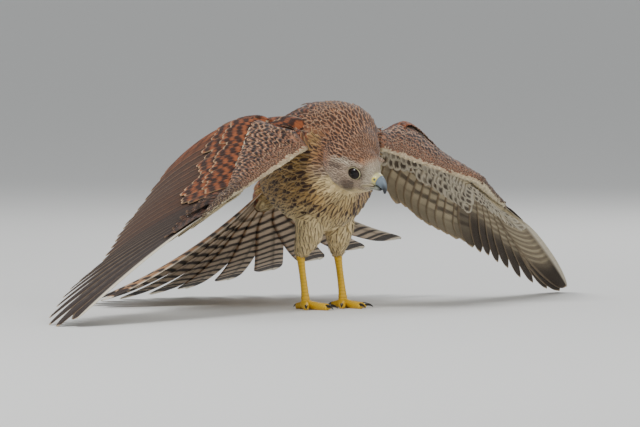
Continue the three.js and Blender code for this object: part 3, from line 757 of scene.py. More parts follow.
eye_gloss = simple_material("wet eye", 0.04, shine=0.32)
bare_skin = simple_material("bare eye rim", 0.45, bumps=0.4, bump_scale=2500.0, bump_depth=0.0001)
for word, side in sides.items():
    node = f"eye_{word}"
    rises, turns = np.linspace(math.pi - 0.02, 0.02, 72), full_turn(96)
    from_axis = eye_radius * np.sin(rises)
    facing = np.cos(rises) < 0
    # The cornea bulges a little past the round of the ball
    outward = (eye_side - eye_radius * np.cos(rises)
               + 0.35 * np.clip(1 - (from_axis / cornea_radius) ** 2, 0, 1) * facing)
    eye_way = eye_ways[word]
    eye_ahead = unit(head_ahead - eye_way * (head_ahead @ eye_way))
    eye_up = np.cross(eye_way, eye_ahead) * side
    spokes = eye_ahead * np.cos(turns)[:, None] + eye_up * np.sin(turns)[:, None]
    rings = (eye_centres[word] + eye_way * (outward - eye_side)[:, None, None]
             + spokes * from_axis[:, None, None])
    iris = iris_brown * (1.0 + 0.9 * ease(pupil_radius, iris_radius, from_axis))[:, None]
    shade = np.where((from_axis < pupil_radius)[:, None] & facing[:, None], 0.003, iris)
    shade = np.where((from_axis > iris_radius)[:, None] | ~facing[:, None], rim_black, shade)
    tint = np.repeat(shade, len(turns), axis=0)
    ball = make_piece(node, rings.reshape(-1, 3), tube_faces(1, len(rises), len(turns)), tint)
    ball.data.materials.append(eye_gloss)
    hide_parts(node)

    # Rim of bare skin: a low swollen ring with fine folds, which lies on the ball
    around, across = full_turn(120), full_turn(20)
    middle, half = (lid_inner + lid_outer) / 2, (lid_outer - lid_inner) / 2
    reach = middle + half * np.cos(across)[None, :] * (1 + 0.06 * np.sin(around * 17)[:, None])
    stretch = 1 + 0.05 * np.cos(2 * (around - 0.3))[:, None]
    bed = math.sqrt(eye_radius**2 - lid_inner**2) + 0.15
    puff = 0.42 * np.sin(across)[None, :] + 0.05 * np.sin(around * 23 + 1)[:, None]
    lifted = (bed + puff + 0.25 * np.sin(around)[:, None])[..., None]
    rings = (eye_centres[word] + eye_way * lifted
             + eye_ahead * (reach * stretch * np.cos(around)[:, None])[..., None]
             + eye_up * (lid_height * reach * np.sin(around)[:, None])[..., None])
    share = ((reach - lid_inner) / (lid_outer - lid_inner)).ravel()
    last = (len(around) - 1) * len(across)
    k = np.arange(len(across))
    after = (k + 1) % len(across)
    seam = np.stack([last + k, last + after, after, k], -1)
    rim = make_piece(f"eye_rim_{word}", rings.reshape(-1, 3),
                     np.concatenate([tube_faces(1, len(around), len(across)), seam]),
                     blend(rim_black, rim_yellow, ease(0.3, 0.6, share)))
    rim.data.materials.append(bare_skin)

# Bill
# A short strong hook of horn, blue-grey with a dark tip, under a swollen yellowish cere that holds
# the round nostrils, each with a small post in its middle. The lower half shuts up into the upper.
upper_bill_stations = [(8.5, -3.4, 4.7, 4.5), (12, -3.3, 4.5, 4.2), (14.6, -3.8, 3.9, 3.8), (17, -5, 3, 3.1),
                       (19, -7.1, 2.1, 2.3), (20, -9.6, 1.3, 1.5), (20.1, -12, 0.6, 0.6)]
lower_bill_stations = [(8, -9.2, 4.2, 2.2), (12, -9.4, 3.5, 1.9), (15, -9.6, 2.5, 1.4),
                       (17.2, -9.7, 1.3, 0.8)]
nostril_ahead, nostril_rise, nostril_radius = 13.0, -2.5, 0.95
bill_horn = simple_material("bill horn", 0.3, coat=0.25, bumps=0.25, bump_scale=1400.0, bump_depth=0.0001)
cere_skin = simple_material("cere", 0.4, coat=0.1, bumps=0.5, bump_scale=2200.0, bump_depth=0.0001)
horn_blue, horn_dark = linear("#73808c"), linear("#22252b")
cere_pale, cere_yellow, nostril_painted_shade = linear("#c6bf8c"), linear("#dccb52"), linear("#1c1710")


def bill_rings(stations, rings, count, grow=0.0, end=1.0):
    """Rings square to the curve of the bill, in ahead, right and rise."""
    rows = np.array(stations, float)
    marks = np.concatenate([[0.0], np.cumsum(np.linalg.norm(np.diff(rows[:, :2], axis=0), axis=1))])
    runs = np.linspace(0.0, end, rings) * marks[-1]
    ahead, rise, half, deep = along(list(zip(marks, rows)), runs).T
    slope = np.arctan2(np.gradient(rise), np.gradient(ahead))
    turns = full_turn(count)
    reach = np.maximum(deep + grow, 0.05)[:, None] * np.sin(turns)
    return np.stack([ahead[:, None] - reach * np.sin(slope)[:, None],
                     np.maximum(half + grow, 0.05)[:, None] * np.cos(turns),
                     rise[:, None] + reach * np.cos(slope)[:, None]], -1)


def drawn_in(rings, share):
    """Rings of points drawn in toward their middles, by a share for each ring."""
    centre = rings.mean(axis=1, keepdims=True)
    return centre + (rings - centre) * np.asarray(share)[:, None, None]


def bill_piece(name, rings, shade, material):
    """A piece of the bill from rings in ahead, right and rise."""
    piece = make_piece(name, head_point(*np.moveaxis(rings, -1, 0)).reshape(-1, 3),
                       tube_faces(1, *rings.shape[:2]), shade.reshape(-1, 3))
    piece.data.materials.append(material)
    return piece


run, turns = np.linspace(0, 1, 90), full_turn(88)
upper = drawn_in(bill_rings(upper_bill_stations, 90, 88), np.maximum(ease(1.0, 0.97, run), 0.05))
# The cutting edge bows down into a small tooth before the hook
low_side = np.clip(-np.sin(turns), 0, 1) ** 2 * np.abs(np.cos(turns)) ** 0.5
upper[..., 2] -= 0.55 * low_side * np.exp(-((run[:, None] - 0.56) / 0.05) ** 2)
dark = ease(0.5, 0.85, run[:, None] + 0.06 * np.sin(turns * 3))
horn = bill_piece("bill_upper", upper, blend(horn_blue, horn_dark, dark), bill_horn)
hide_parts("bill_upper")

cere = bill_rings(upper_bill_stations, 110, 150, grow=0.38, end=0.34)
swell = ease(1.0, 0.86, np.linspace(0, 1, 110)) * 0.45 - 0.42
cere = drawn_in(cere, 1 + 0.1 * swell)
from_nostril = np.hypot(cere[..., 0] - nostril_ahead, cere[..., 2] - nostril_rise)
dip = ease(nostril_radius, 0.72 * nostril_radius, from_nostril) - 0.9 * ease(0.42, 0.2, from_nostril)
lip = np.exp(-((from_nostril - 1.25) / 0.28) ** 2) * 0.16
cere[..., 1] += np.sign(cere[..., 1]) * (lip - 1.1 * dip)
shade = blend(cere_pale, cere_yellow, ease(2.6, 1.3, from_nostril))
# The nostrils are painted dark: painted shade inside their holes.
bill_piece("cere", cere, blend(shade, nostril_painted_shade, ease(1.0, 0.8, from_nostril)), cere_skin)

run = np.linspace(0, 1, 50)
lower = drawn_in(bill_rings(lower_bill_stations, 50, 64), np.maximum(ease(1.0, 0.93, run), 0.05))
dark = ease(0.55, 1.0, run)[:, None] * np.ones((1, 64))
jaw = bill_piece("bill_lower", lower, blend(blend(horn_blue, cere_pale, 0.35), horn_dark, dark), bill_horn)
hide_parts("bill_lower")

# Corner of the mouth: two soft pale folds of skin that run back from the bill and meet, with a thin dark line
# between them that is painted shade in the slit of the mouth
mouth_folds = {
    "upper": ([(12.5, 4.0, -6.9), (9.5, 5.6, -7.3), (6.5, 7.9, -7.9), (4.6, 9.4, -8.5)],
              [0.45, 0.5, 0.45, 0.15], "#b9aa85"),
    "lower": ([(12.5, 3.5, -8.3), (9.5, 5.5, -8.5), (6.5, 7.8, -8.7), (4.6, 9.3, -8.8)],
              [0.4, 0.5, 0.45, 0.15], "#b9aa85"),
    # The dark line is painted shade in the slit between the folds.
    "line": ([(13.5, 3.9, -7.6), (9.5, 5.9, -7.9), (6.5, 8.2, -8.3), (4.2, 9.9, -8.7)],
             [0.3, 0.34, 0.3, 0.12], "#3a2c25"),
}
for word, side in sides.items():
    for name, (path, radii, hue) in mouth_folds.items():
        points = np.array([head_point(ahead, side * right, rise) for ahead, right, rise in path])
        rings = limb_rings(points, radii, 30, 16)
        fold = make_piece(f"mouth_fold_{name}_{word}", rings.reshape(-1, 3), tube_faces(1, 30, 16),
                          linear(hue))
        fold.data.materials.append(cere_skin)

# Legs and feet
# Bare yellow skin over bone, covered by small scales that widen to plates on top of the toes, with
# soft pads below. The feet stand flat on the floor.
tarsus_radii = (3.4, 2.5, 2.6, 3.4)
foot_height = 4.5
# Toes: turn from straight ahead in degrees, length, and thickness at the root and at the tip
toes = [("middle", 4, 26, 2.7, 2.0), ("inner", 38, 19, 2.6, 2.0), ("outer", -34, 18, 2.4, 1.8),
        ("hind", 176, 12, 2.6, 2.1)]
leg_yellow, leg_shadow = linear("#e3b51c"), linear("#a3780f")
leg_skin = simple_material("leg skin", 0.42, bumps=0.35, bump_scale=1800.0, bump_depth=0.00012)


def scaled_limb(points, radii, rings, count, plates, plate_side):
    """A limb whose skin is raised in plates in front and in small round scales elsewhere."""
    base = limb_rings(points, radii, rings, count)
    outward = unit(base - base.mean(axis=1, keepdims=True))
    around = np.linspace(0.0, 1.0, count, endpoint=False)[None, :]
    run = np.linspace(0.0, 1.0, rings)[:, None]
    facing = np.clip((outward @ plate_side) * 1.6, 0, 1)
    plate = np.abs(np.sin(math.pi * plates * run)) ** 0.4 * np.ones_like(around)
    row = np.floor(run * plates * 1.6)
    small = (np.abs(np.sin(math.pi * (plates * 1.6 * run))) ** 0.5
             * np.abs(np.sin(math.pi * (around * 9 + 0.5 * (row % 2)))) ** 0.5)
    relief = facing * plate + (1 - facing) * small
    shade = blend(leg_shadow, leg_yellow, ease(0.1, 0.75, relief))
    return base + outward * (0.34 * (relief - 0.75))[..., None], shade


def join_tubes(tubes):
    """Points, faces and colours of several tubes as one mesh."""
    points, faces, shades, start = [], [], [], 0
    for rings, shade in tubes:
        points.append(rings.reshape(-1, 3))
        faces.append(tube_faces(1, *rings.shape[:2]) + start)
        shades.append(np.broadcast_to(shade, rings.shape).reshape(-1, 3))
        start += len(points[-1])
    return np.concatenate(points), np.concatenate(faces), np.concatenate(shades)


def toe_way(side, turn):
    """The direction of a toe, turned from straight ahead to the side of its foot."""
    angle = math.radians(side * turn)
    return forward * math.cos(angle) + np.cross(up, forward) * math.sin(angle)


for word, side in sides.items():
    ahead, aside = foot_ahead[word], -side * leg_aside
    root = body_point(ahead, aside, 0.0)
    leg_path = [body_point(ahead - ankle_back, aside, ankle_height), body_point(ahead - 5, aside, 30),
                body_point(ahead - 1.5, aside, 14), body_point(ahead, aside, foot_height)]
    tubes = [scaled_limb(leg_path, tarsus_radii, 120, 40, 15, forward)]
    for toe, turn, length, root_radius, tip_radius in toes:
        way = toe_way(side, turn)
        path = [root + way * length * share + up * height
                for share, height in ((0, foot_height), (0.35, 2.9), (0.75, 2.1), (1.0, 1.7))]
        radii = [root_radius, root_radius, (root_radius + tip_radius) / 2, tip_radius]
        rings, shade = scaled_limb(path, radii, 90, 28, max(int(length / 2.2), 5), up)
        # Pads swell under the joints of the toe
        pads = 0.5 * np.abs(np.sin(math.pi * np.linspace(0, 2.5, 90)))[:, None]
        below = np.clip(-(unit(rings - rings.mean(axis=1, keepdims=True)) @ up), 0, 1)
        rings = drawn_in(rings, np.maximum(np.sqrt(ease(1.0, 0.9, np.linspace(0, 1, 90))), 0.05))
        rings[..., 2] -= pads * below
        tubes.append((rings, shade))
    knuckle = ball_rings(body_point(ahead, aside, foot_height - 0.6), np.eye(3) * 3.8, 24, 28)
    tubes.append((knuckle, leg_yellow))
    points, faces, shades = join_tubes(tubes)
    points[:, 2] = np.maximum(points[:, 2], 0.0)
    foot = make_piece(f"foot_{word}", points, faces, shades)
    foot.data.materials.append(leg_skin)
    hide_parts(f"foot_{word}")

# Claws
# Black curved horn, one at the end of each toe, sharp and polished, with its point on the floor.
claw_length, claw_radius = 8.5, 1.25
claw_black = linear("#17130f")
claw_horn = simple_material("claw horn", 0.22, coat=0.3, bumps=0.1)
for word, side in sides.items():
    root = body_point(foot_ahead[word], -side * leg_aside, 0.0)
    for toe, turn, length, _, _ in toes:
        share = np.linspace(-0.12, 1.0, 24)
        bend = share * math.radians(78)
        reach = length - 1.5 + claw_length * np.sin(bend) * 0.78
        height = 2.9 - claw_length * (1 - np.cos(bend)) * 0.32
        path = root + toe_way(side, turn) * reach[:, None] + up * height[:, None]
        radii = claw_radius * (1 - 0.92 * np.clip(share, 0, 1) ** 1.2)
        points = limb_rings(path, radii, 48, 20).reshape(-1, 3)
        points[:, 2] = np.maximum(points[:, 2], 0.0)
        claw = make_piece(f"claw_{word}_{toe}", points, tube_faces(1, 48, 20), claw_black)
        claw.data.materials.append(claw_horn)
        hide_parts(f"claw_{word}_{toe}")

# Flight feathers
# Stiff vanes on a horn shaft, rooted in the wing's rear edge and overlapping like shingles: ten
# primaries on the hand, secondaries on the forearm, tertials and long scapulars by the body.
chance = np.random.default_rng(41)
shingle_pitch = 0.6
flight_rows, flight_columns = 80, 11
flight_feather = plumage_material("flight feather", 3.0, 0.00005, roughness=0.62, shine=0.14, sheen=0.04)
primary_brown, secondary_brown = linear("#372b26"), linear("#4f3a2f")
# The buff of the undersides is darkened with painted shade; the real undersides are paler.
under_buff_with_painted_shade, under_bar, under_tip = linear("#bfb193"), linear("#54493f"), linear("#3a312b")
under_shade, shaft_dark, thin_edge = linear("#857762"), linear("#241a16"), linear("#c9b08d")


def vane_loops(sheet, place, start, end, webs, lift, tip_share, grid, thickness=0.34, under=False):
    """Closed rings of points of one vane, with its places across (-1 to 1) and along (0 to 1)."""
    rows, columns = grid
    eased = 1 - (1 - np.linspace(0, 1, rows)) ** 1.35
    share = start + (end - start) * eased
    from_tip = 1 - eased
    taper = np.where(from_tip < tip_share,
                     np.sqrt(np.maximum(0, 1 - (1 - from_tip / tip_share) ** 2)), 1)
    width = (0.22 + 0.78 * ease(0.0, 0.32, eased)) * np.maximum(taper, 0.03)
    across = np.linspace(1, -1, columns)
    aside = np.where(across > 0, across * webs[0], across * webs[1])[None, :] * width[:, None]
    offset = aside / sheet.spacing(np.full(rows, float(place)), share)[:, None]
    spot = sheet.at(place + offset, share[:, None])
    square = sheet.normal(place + offset, share[:, None])
    crown = 0.5 * (1 - across**2)[None, :] * width[:, None]
    shingle = shingle_pitch * np.clip(offset, -2.2, 2.2)
    # The outer edge bends down to rest on the next vane
    rest = 0.5 * np.clip(across, 0, 1) ** 3
    # The root of an upper covert starts in the flesh and comes out to its place in the tier
    raised = lift * ease(0.0, 0.4, eased)[:, None]
    height = shingle - rest + (-lift if under else raised + crown * 0.5)
    shaft = np.exp(-(across / 0.07) ** 2)[None, :] * (1 - 0.8 * eased)[:, None]
    half = thickness / 2 * (0.35 + 0.65 * (1 - np.abs(across)))[None, :] * np.maximum(width, 0.3)[:, None]
    half = half * np.minimum(1, from_tip * 30)[:, None] + 0.01
    over = spot + square * (height + half + 0.35 * shaft)[..., None]
    below = spot + square * (height - half - 0.2 * shaft)[..., None]
    across_loop = np.concatenate([across, across[-2:0:-1]])
    is_top = np.arange(len(across_loop)) < columns
    return (np.concatenate([over, below[:, -2:0:-1]], axis=1),
            *np.broadcast_arrays(across_loop, eased[:, None], is_top))


def grid_corners(rows, loop):
    """Corners of the faces of one tube laid out flat, from 0 to 1 round it and along it."""
    ring, step = np.meshgrid(np.arange(rows - 1), np.arange(loop), indexing="ij")
    places = [np.stack([(step + further) / loop, (ring + onward) / (rows - 1)], -1)
              for further, onward in ((0, 0), (1, 0), (1, 1), (0, 1))]
    return np.stack(places, 2).reshape(-1, 4, 2)


def vane_map(corners, lengths):
    """Places on each vane: from edge over shaft to edge, and along it in millimetres."""
    onward = corners[None, ..., 1] * np.asarray(lengths)[:, None, None]
    return np.stack(np.broadcast_arrays(1 - np.abs(corners[..., 0] * 2 - 1), onward), -1)


def vane_piece(name, vanes, material):
    """One mesh of separate long vanes, each with its rings, colours and length."""
    rings, tints, lengths = (np.array(column) for column in zip(*vanes))
    count, rows, loop = rings.shape[:3]
    corners = grid_corners(rows, loop)
    # For the bake each vane has one strip of the map
    strip = (np.arange(count)[:, None, None] + 0.04 + 0.92 * corners[..., 0]) / count
    bake = np.stack(np.broadcast_arrays(strip, 0.01 + 0.98 * corners[..., 1]), -1)
    piece = make_piece(name, rings.reshape(-1, 3), tube_faces(count, rows, loop), tints.reshape(-1, 3),
                       {"Vane": vane_map(corners, lengths), "OFBake": bake})
    piece.data.materials.append(material)
    return piece


def band(value, middle, half, soft):
    """One inside a band and nothing outside, with soft edges."""
    return ease(half + soft, half - soft, np.abs(value - middle))


def flight_colour(place, across, run, length, is_top):
    """Colours of a wing feather: barred rufous to dark brown above, buff with grey bars below, the buff
    darkened with painted shade.
    """
    distance = run * length
    from_tip = length - distance
    primary, tertial = ease(-1.0, 2.0, place), ease(-8.0, -13.0, place)
    wave = 0.7 * np.sin(distance * 0.9 + place) + 1.5 * np.sin(2.3 * place)
    bar_pitch = 10.5
    sweep = (from_tip + 2.2 * np.abs(across) + wave) % bar_pitch
    bars = band(sweep, 5.2, 2.0, 0.6) * ease(12, 20, from_tip)
    tip_edge = ease(2.6, 0.8, from_tip)

    ground = blend(blend(secondary_brown, primary_brown, primary), rufous_bright, tertial)
    paler = blend(rufous, under_bar, primary)
    inner = ease(0.05, 0.3, -across)
    top = blend(ground, paler, (1 - bars) * inner * (1 - tertial) * 0.55 * ease(25, 45, from_tip))
    top = blend(top, bar_black, bars * tertial * 0.9)
    top = blend(top, bar_black, tertial * band(from_tip, 10.0, 3.2, 1.0) * 0.9)
    top = blend(top, thin_edge, np.maximum(ease(0.84, 1.0, np.abs(across)) * 0.85, tip_edge) * 0.8)

    below = blend(under_buff_with_painted_shade, under_bar, 0.85 * bars * ease(1.0, 0.55, across))
    below = blend(below, under_tip, 0.5 * ease(22, 8, from_tip))
    pale_bars = np.maximum(band(sweep, 0.0, 2.0, 0.8), band(sweep, bar_pitch, 2.0, 0.8))
    pale_bars = pale_bars * ease(0.15, -0.1, across) * ease(38, 58, from_tip)
    primary_below = blend(under_shade, under_buff_with_painted_shade, pale_bars)
    primary_below = blend(primary_below, under_tip, 0.9 * ease(62, 30, from_tip))
    below = blend(blend(below, primary_below, primary), thin_edge, tip_edge * 0.8)

    # The last primary has a pale outer web
    leading = ease(0.1, 0.35, across) * (place > 9.5)
    shade = blend(np.where(is_top[..., None], top, below), cream * 0.85, leading)
    shaft = np.exp(-(across / 0.06) ** 2) * 0.7
    return blend(shade, shaft_dark, shaft * np.where(is_top, 1.0, 0.35))


for word in sides:
    vanes = []
    for place in range(-19, 11):
        primary, scapular = place >= 1, place < -15
        outer_web = (7.5 - 0.2 * place if primary else 8.0) * (0.8 if scapular else 1.0)
        inner_web = 1.45 * (12.5 - 0.25 * place) if primary else 12.0
        webs = (outer_web * chance.uniform(0.95, 1.05), inner_web * chance.uniform(0.95, 1.05))
        end = chance.uniform(0.98, 1.015) if place < 8 else 1.0
        rings, across, run, is_top = vane_loops(wing_sheets[word], place, 0.01, end, webs, 0.0,
                                                0.3 if primary else 0.16, (flight_rows, flight_columns))
        length = float(along(flight_lengths, place))
        vanes.append((rings, flight_colour(float(place), across, run, length, is_top), length))
    wing = vane_piece(f"flight_feathers_{word}", vanes, flight_feather)
    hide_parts(f"wing_{word}")

# Wing coverts
# Shorter vanes in tiers that roof the roots of the flight feathers above and below: rufous with
# black bars and pale fringes above, cream with dark spots below, and the small bastard wing.
covert_rows, covert_columns, covert_thickness = 20, 7, 0.22
covert_feather = plumage_material("covert feather", 2.6, 0.00005, roughness=0.68, shine=0.16, sheen=0.1)
# Tiers: first and last place, step between feathers, start and end share, web and lift
covert_tiers = {
    "upper": [(-19.6, -13.6, 0.55, 0.06, 0.62, 5.2, 1.6), (-19.8, -13.8, 0.5, 0.03, 0.42, 4.8, 2.7),
              (-13.4, 0.4, 0.62, 0.03, 0.46, 5.4, 1.7), (-13.6, 0.4, 0.52, 0.01, 0.32, 4.6, 2.6),
              (0.8, 10.2, 0.8, 0.02, 0.30, 4.2, 1.8), (3.6, 7.0, 1.1, 0.0, 0.2, 4.0, 4.6)],
    "under": [(-15.0, 0.4, 0.72, 0.25, 0.64, 5.4, 0.9), (-15.2, 0.4, 0.64, 0.17, 0.53, 4.8, 1.7),
              (-15.4, 0.4, 0.6, 0.09, 0.42, 4.4, 2.5), (-15.4, 0.4, 0.56, 0.02, 0.3, 4.2, 3.3),
              (0.7, 10.0, 0.75, 0.03, 0.36, 5.4, 1.2), (0.7, 10.0, 0.65, 0.02, 0.25, 4.6, 2.2),
              (0.7, 9.8, 0.6, 0.01, 0.16, 4.0, 3.2)],
}
spot_brown, under_root, covert_brown = linear("#463829"), linear("#cdbd98"), linear("#4c3a30")


def covert_colour(place, across, run, length, under, phase):
    """Barred and fringed rufous above, darker on the hand; spotted cream below."""
    from_tip, from_shaft = length * (1 - run), np.abs(across)
    if under:
        spot = np.maximum(1 - np.hypot((from_tip - 5.6) / 4.4, across / 0.62), 0)
        spot = np.maximum(spot, 1 - np.hypot((from_tip - 14.5 - phase) / 3.6, across / 0.5))
        strength = 0.94 * float(ease(-1.2, -0.2, phase))
        ground = blend(cream * 0.78, under_root, ease(8, 24, from_tip))
        return blend(ground, spot_brown, strength * ease(0.06, 0.26, spot))
    hand = ease(-1.0, 2.0, place)
    bars = band((from_tip + 2 * phase - 2.6 * from_shaft) % 8.6, 4.2, 2.5, 0.5)
    bars = np.maximum(bars, ease(0.4, 0.15, from_shaft) * ease(14, 5, from_tip))
    ground = blend(rufous_bright, covert_brown, 0.85 * hand)
    shade = blend(ground, bar_black, 0.92 * bars * ease(0.02, 0.3, run))
    rim = np.maximum(ease(0.8, 0.98, from_shaft) * ease(0.2, 0.6, run), ease(2.0, 1.0, from_tip))
    return blend(shade, fringe_buff, rim * (0.66 - 0.45 * hand))


for word in sides:
    for group, tiers in covert_tiers.items():
        under = group == "under"
        vanes = []
        for first, last, step, start, end, web, lift in tiers:
            for place in np.arange(first, last, step):
                place = place + chance.uniform(-0.1, 0.1)
                reach = end * (chance.uniform(0.93, 1.06) if under else chance.uniform(0.84, 1.12))
                reach += 0.22 * float(ease(-6.0, -12.0, place)) * under
                width = web * chance.uniform(0.92, 1.08) * (0.85 if place > 1 else 1.0)
                rings, across, run, _ = vane_loops(wing_sheets[word], place, start, reach, (width, width),
                                                   lift, 0.22, (covert_rows, covert_columns),
                                                   covert_thickness, under)
                length = float(along(flight_lengths, place)) * (reach - start)
                shade = covert_colour(place, across, run, length, under, chance.uniform(-1.2, 1.2))
                vanes.append((rings, shade * chance.uniform(0.88, 1.12), length))
        coverts = vane_piece(f"{group}_coverts_{word}", vanes, covert_feather)

# Tail
# Twelve long stiff feathers fanned wide behind the bird, buff with dark bars, a broad dark band
# before the cream tips, and pale outer edges. The middle ones bend where they meet the floor.
tail_root = np.array([-32.0, 44.0, 87.0])
tail_feathers = 12
tail_right_turn, tail_left_turn = math.radians(196.0), math.radians(52.0)
tail_rows, tail_columns = 130, 11
floor_gap = 0.02
tail_buff, tail_grey = linear("#b3855c"), linear("#d0b99f")
tail_bar, tail_tip = linear("#251c1a"), linear("#e9dfca")


def tail_length(across):
    """Length of a tail feather, by its place across the fan from 0 to 1."""
    return 166 - 16 * (np.abs(across - 0.5) * 2) ** 2


def tail_at(place, share):
    """Where a tail feather runs, by its number and the share of its length."""
    place, share = np.broadcast_arrays(np.asarray(place, float), np.asarray(share, float))
    across = (place - 1) / (tail_feathers - 1)
    turn = tail_right_turn + (tail_left_turn - tail_right_turn) * across
    outward = np.stack([np.cos(turn), np.sin(turn), np.zeros_like(turn)], -1)
    length = tail_length(across)
    root_drop = np.radians(along([(0, 45), (0.5, 47), (1, 26)], across))
    tip_drop = np.radians(along([(0, 22), (0.5, 14), (1, 8)], across))
    point = tail_root + outward * 5
    steps = 24
    for i in range(steps):
        drop = root_drop + (tip_drop - root_drop) * ((i + 0.5) / steps) * share
        point = point + outward * (np.cos(drop) * length * share / steps)[..., None]
        point = point - up * (np.sin(drop) * length * share / steps)[..., None]
    return point


def tail_colour(across, run, length, is_top, outer_side, outermost):
    """Colours of a tail feather: rufous buff above, paler and greyer below, barred on both."""
    from_tip = length * (1 - run)
    sweep = from_tip + 2.0 * np.abs(across)
    web = across * outer_side
    bars = band((sweep - 17.0) % 11.8, 8.6, 2.5, 0.5) * ease(18, 20, from_tip) * ease(140, 125, from_tip)
    bars = bars * (1 - (0.65 * ease(0.45, 0.8, web) if outermost else 0.0))
    wide = band(sweep, 14.5, 6.2, 0.6)
    ground = np.where(is_top[..., None], tail_buff, tail_grey)
    ground = blend(ground, tail_tip, ease(0.3, 0.8, web) * (0.75 if outermost else 0.25))
    shade = blend(ground, tail_bar, np.maximum(bars, wide) * 0.95)
    shade = blend(shade, tail_tip, ease(7.6, 6.4, sweep))
    return blend(shade, shaft_dark, 0.5 * np.exp(-(across / 0.05) ** 2))


tail_sheet = FeatherSheet(tail_at)
vanes = []
for place in range(1, tail_feathers + 1):
    right_half = place <= tail_feathers / 2
    to_edge, to_middle = 7.5 * chance.uniform(0.96, 1.04), 14.0 * chance.uniform(0.96, 1.04)
    webs = (to_middle, to_edge) if right_half else (to_edge, to_middle)
    end = 1 - chance.uniform(0.0, 0.012)
    rings, across, run, is_top = vane_loops(tail_sheet, place, 0.02, end, webs, 0.0, 0.12,
                                            (tail_rows, tail_columns))
    rings[..., 2] = np.maximum(rings[..., 2], floor_gap)
    length = tail_length((place - 1) / (tail_feathers - 1))
    shade = tail_colour(across, run, length, is_top, -1.0 if right_half else 1.0, place in (1, tail_feathers))
    vanes.append((rings, shade, length))
tail = vane_piece("tail_feathers", vanes, flight_feather)
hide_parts("tail")

# Small feathers
# Soft contour feathers rooted all over the skin, tip over root like tiles, each curved to lie along
# the body. They are smallest round the eye and bill and longest on the back and over the tail.
places_tried, search_cell = 150000, 3.0
most_triangles, small_length, bake_patch = 190000, 6.5, 0.003
eye_clearing, eye_reach = 4.9, 25.0


def read_mesh(collection, name, width, kind=float):
    """Values kept on the parts of a mesh, one row for each part."""
    values = np.empty(len(collection) * width, kind)
    collection.foreach_get(name, values)
    return values.reshape(-1, width) if width > 1 else values


skin_tree = BVHTree.FromPolygons([tuple(point) for point in skin_points],
                                 [tuple(polygon.vertices) for polygon in skin_mesh.polygons])
skin_map = read_mesh(skin_mesh.uv_layers["OFBake"].data, "uv", 2)
corners = read_mesh(skin_mesh.loops, "vertex_index", 1, np.int64)
face_starts = read_mesh(skin_mesh.polygons, "loop_start", 1, np.int64)
face_areas = read_mesh(skin_mesh.polygons, "area", 1)
face_normals = read_mesh(skin_mesh.polygons, "normal", 3)

# Random places on the skin's four-sided faces, as many to each area
faces = chance.choice(len(face_areas), size=places_tried, p=face_areas / face_areas.sum())
u, v = chance.uniform(0, 1, (2, places_tried))
corner_shares = ((1 - u) * (1 - v), u * (1 - v), u * v, (1 - u) * v)


def mixed(values):
    """Values at the random places, mixed from the four corners of each one's face."""
    return sum(values[face_starts[faces] + k] * share[:, None] for k, share in enumerate(corner_shares))


places, ways_out, bake_at = mixed(skin_points[corners]), face_normals[faces], mixed(skin_map)
plan = plumage(places, ways_out)

# Bare places keep no feathers: the eyes and their rims, the bill and the line of the mouth
on_head = (places - head_place) @ head_axes.T
bare = np.hypot(on_head[:, 1] / 4.9, (on_head[:, 2] + 3.4) / 4.7) < 1.0
bare &= on_head[:, 0] > 8.0
bare |= (np.abs(on_head[:, 2] + 8.2) < 0.7) & (on_head[:, 0] > 4.5) & (on_head[:, 0] < 14)
for word, way in eye_ways.items():
    offset = places - eye_centres[word]
    outward = offset @ way
    bare |= (np.linalg.norm(offset - outward[:, None] * way, axis=1) < eye_clearing) & (outward > 0)
bare &= np.linalg.norm(on_head, axis=1) < eye_reach

# Of the places tried, those far enough from the ones already kept
keep, kept_near = [], {}
for i in np.flatnonzero(~bare):
    point, gap = places[i], plan["spread"][i]
    reach = int(math.ceil(gap / search_cell))
    x, y, z = (point // search_cell).astype(int)
    steps = range(-reach, reach + 1)
    near = [j for dx in steps for dy in steps for dz in steps
            for j in kept_near.get((x + dx, y + dy, z + dz), ())]
    if near and (np.linalg.norm(places[near] - point, axis=1) < gap).any():
        continue
    kept_near.setdefault((x, y, z), []).append(i)
    keep.append(i)
keep = np.array(keep)


def nearest_skin(points):
    """The nearest place on the skin and the way out there."""
    found = [skin_tree.find_nearest(Vector(point)) for point in points]
    return np.array([hit[0] for hit in found]), np.array([hit[1] for hit in found])


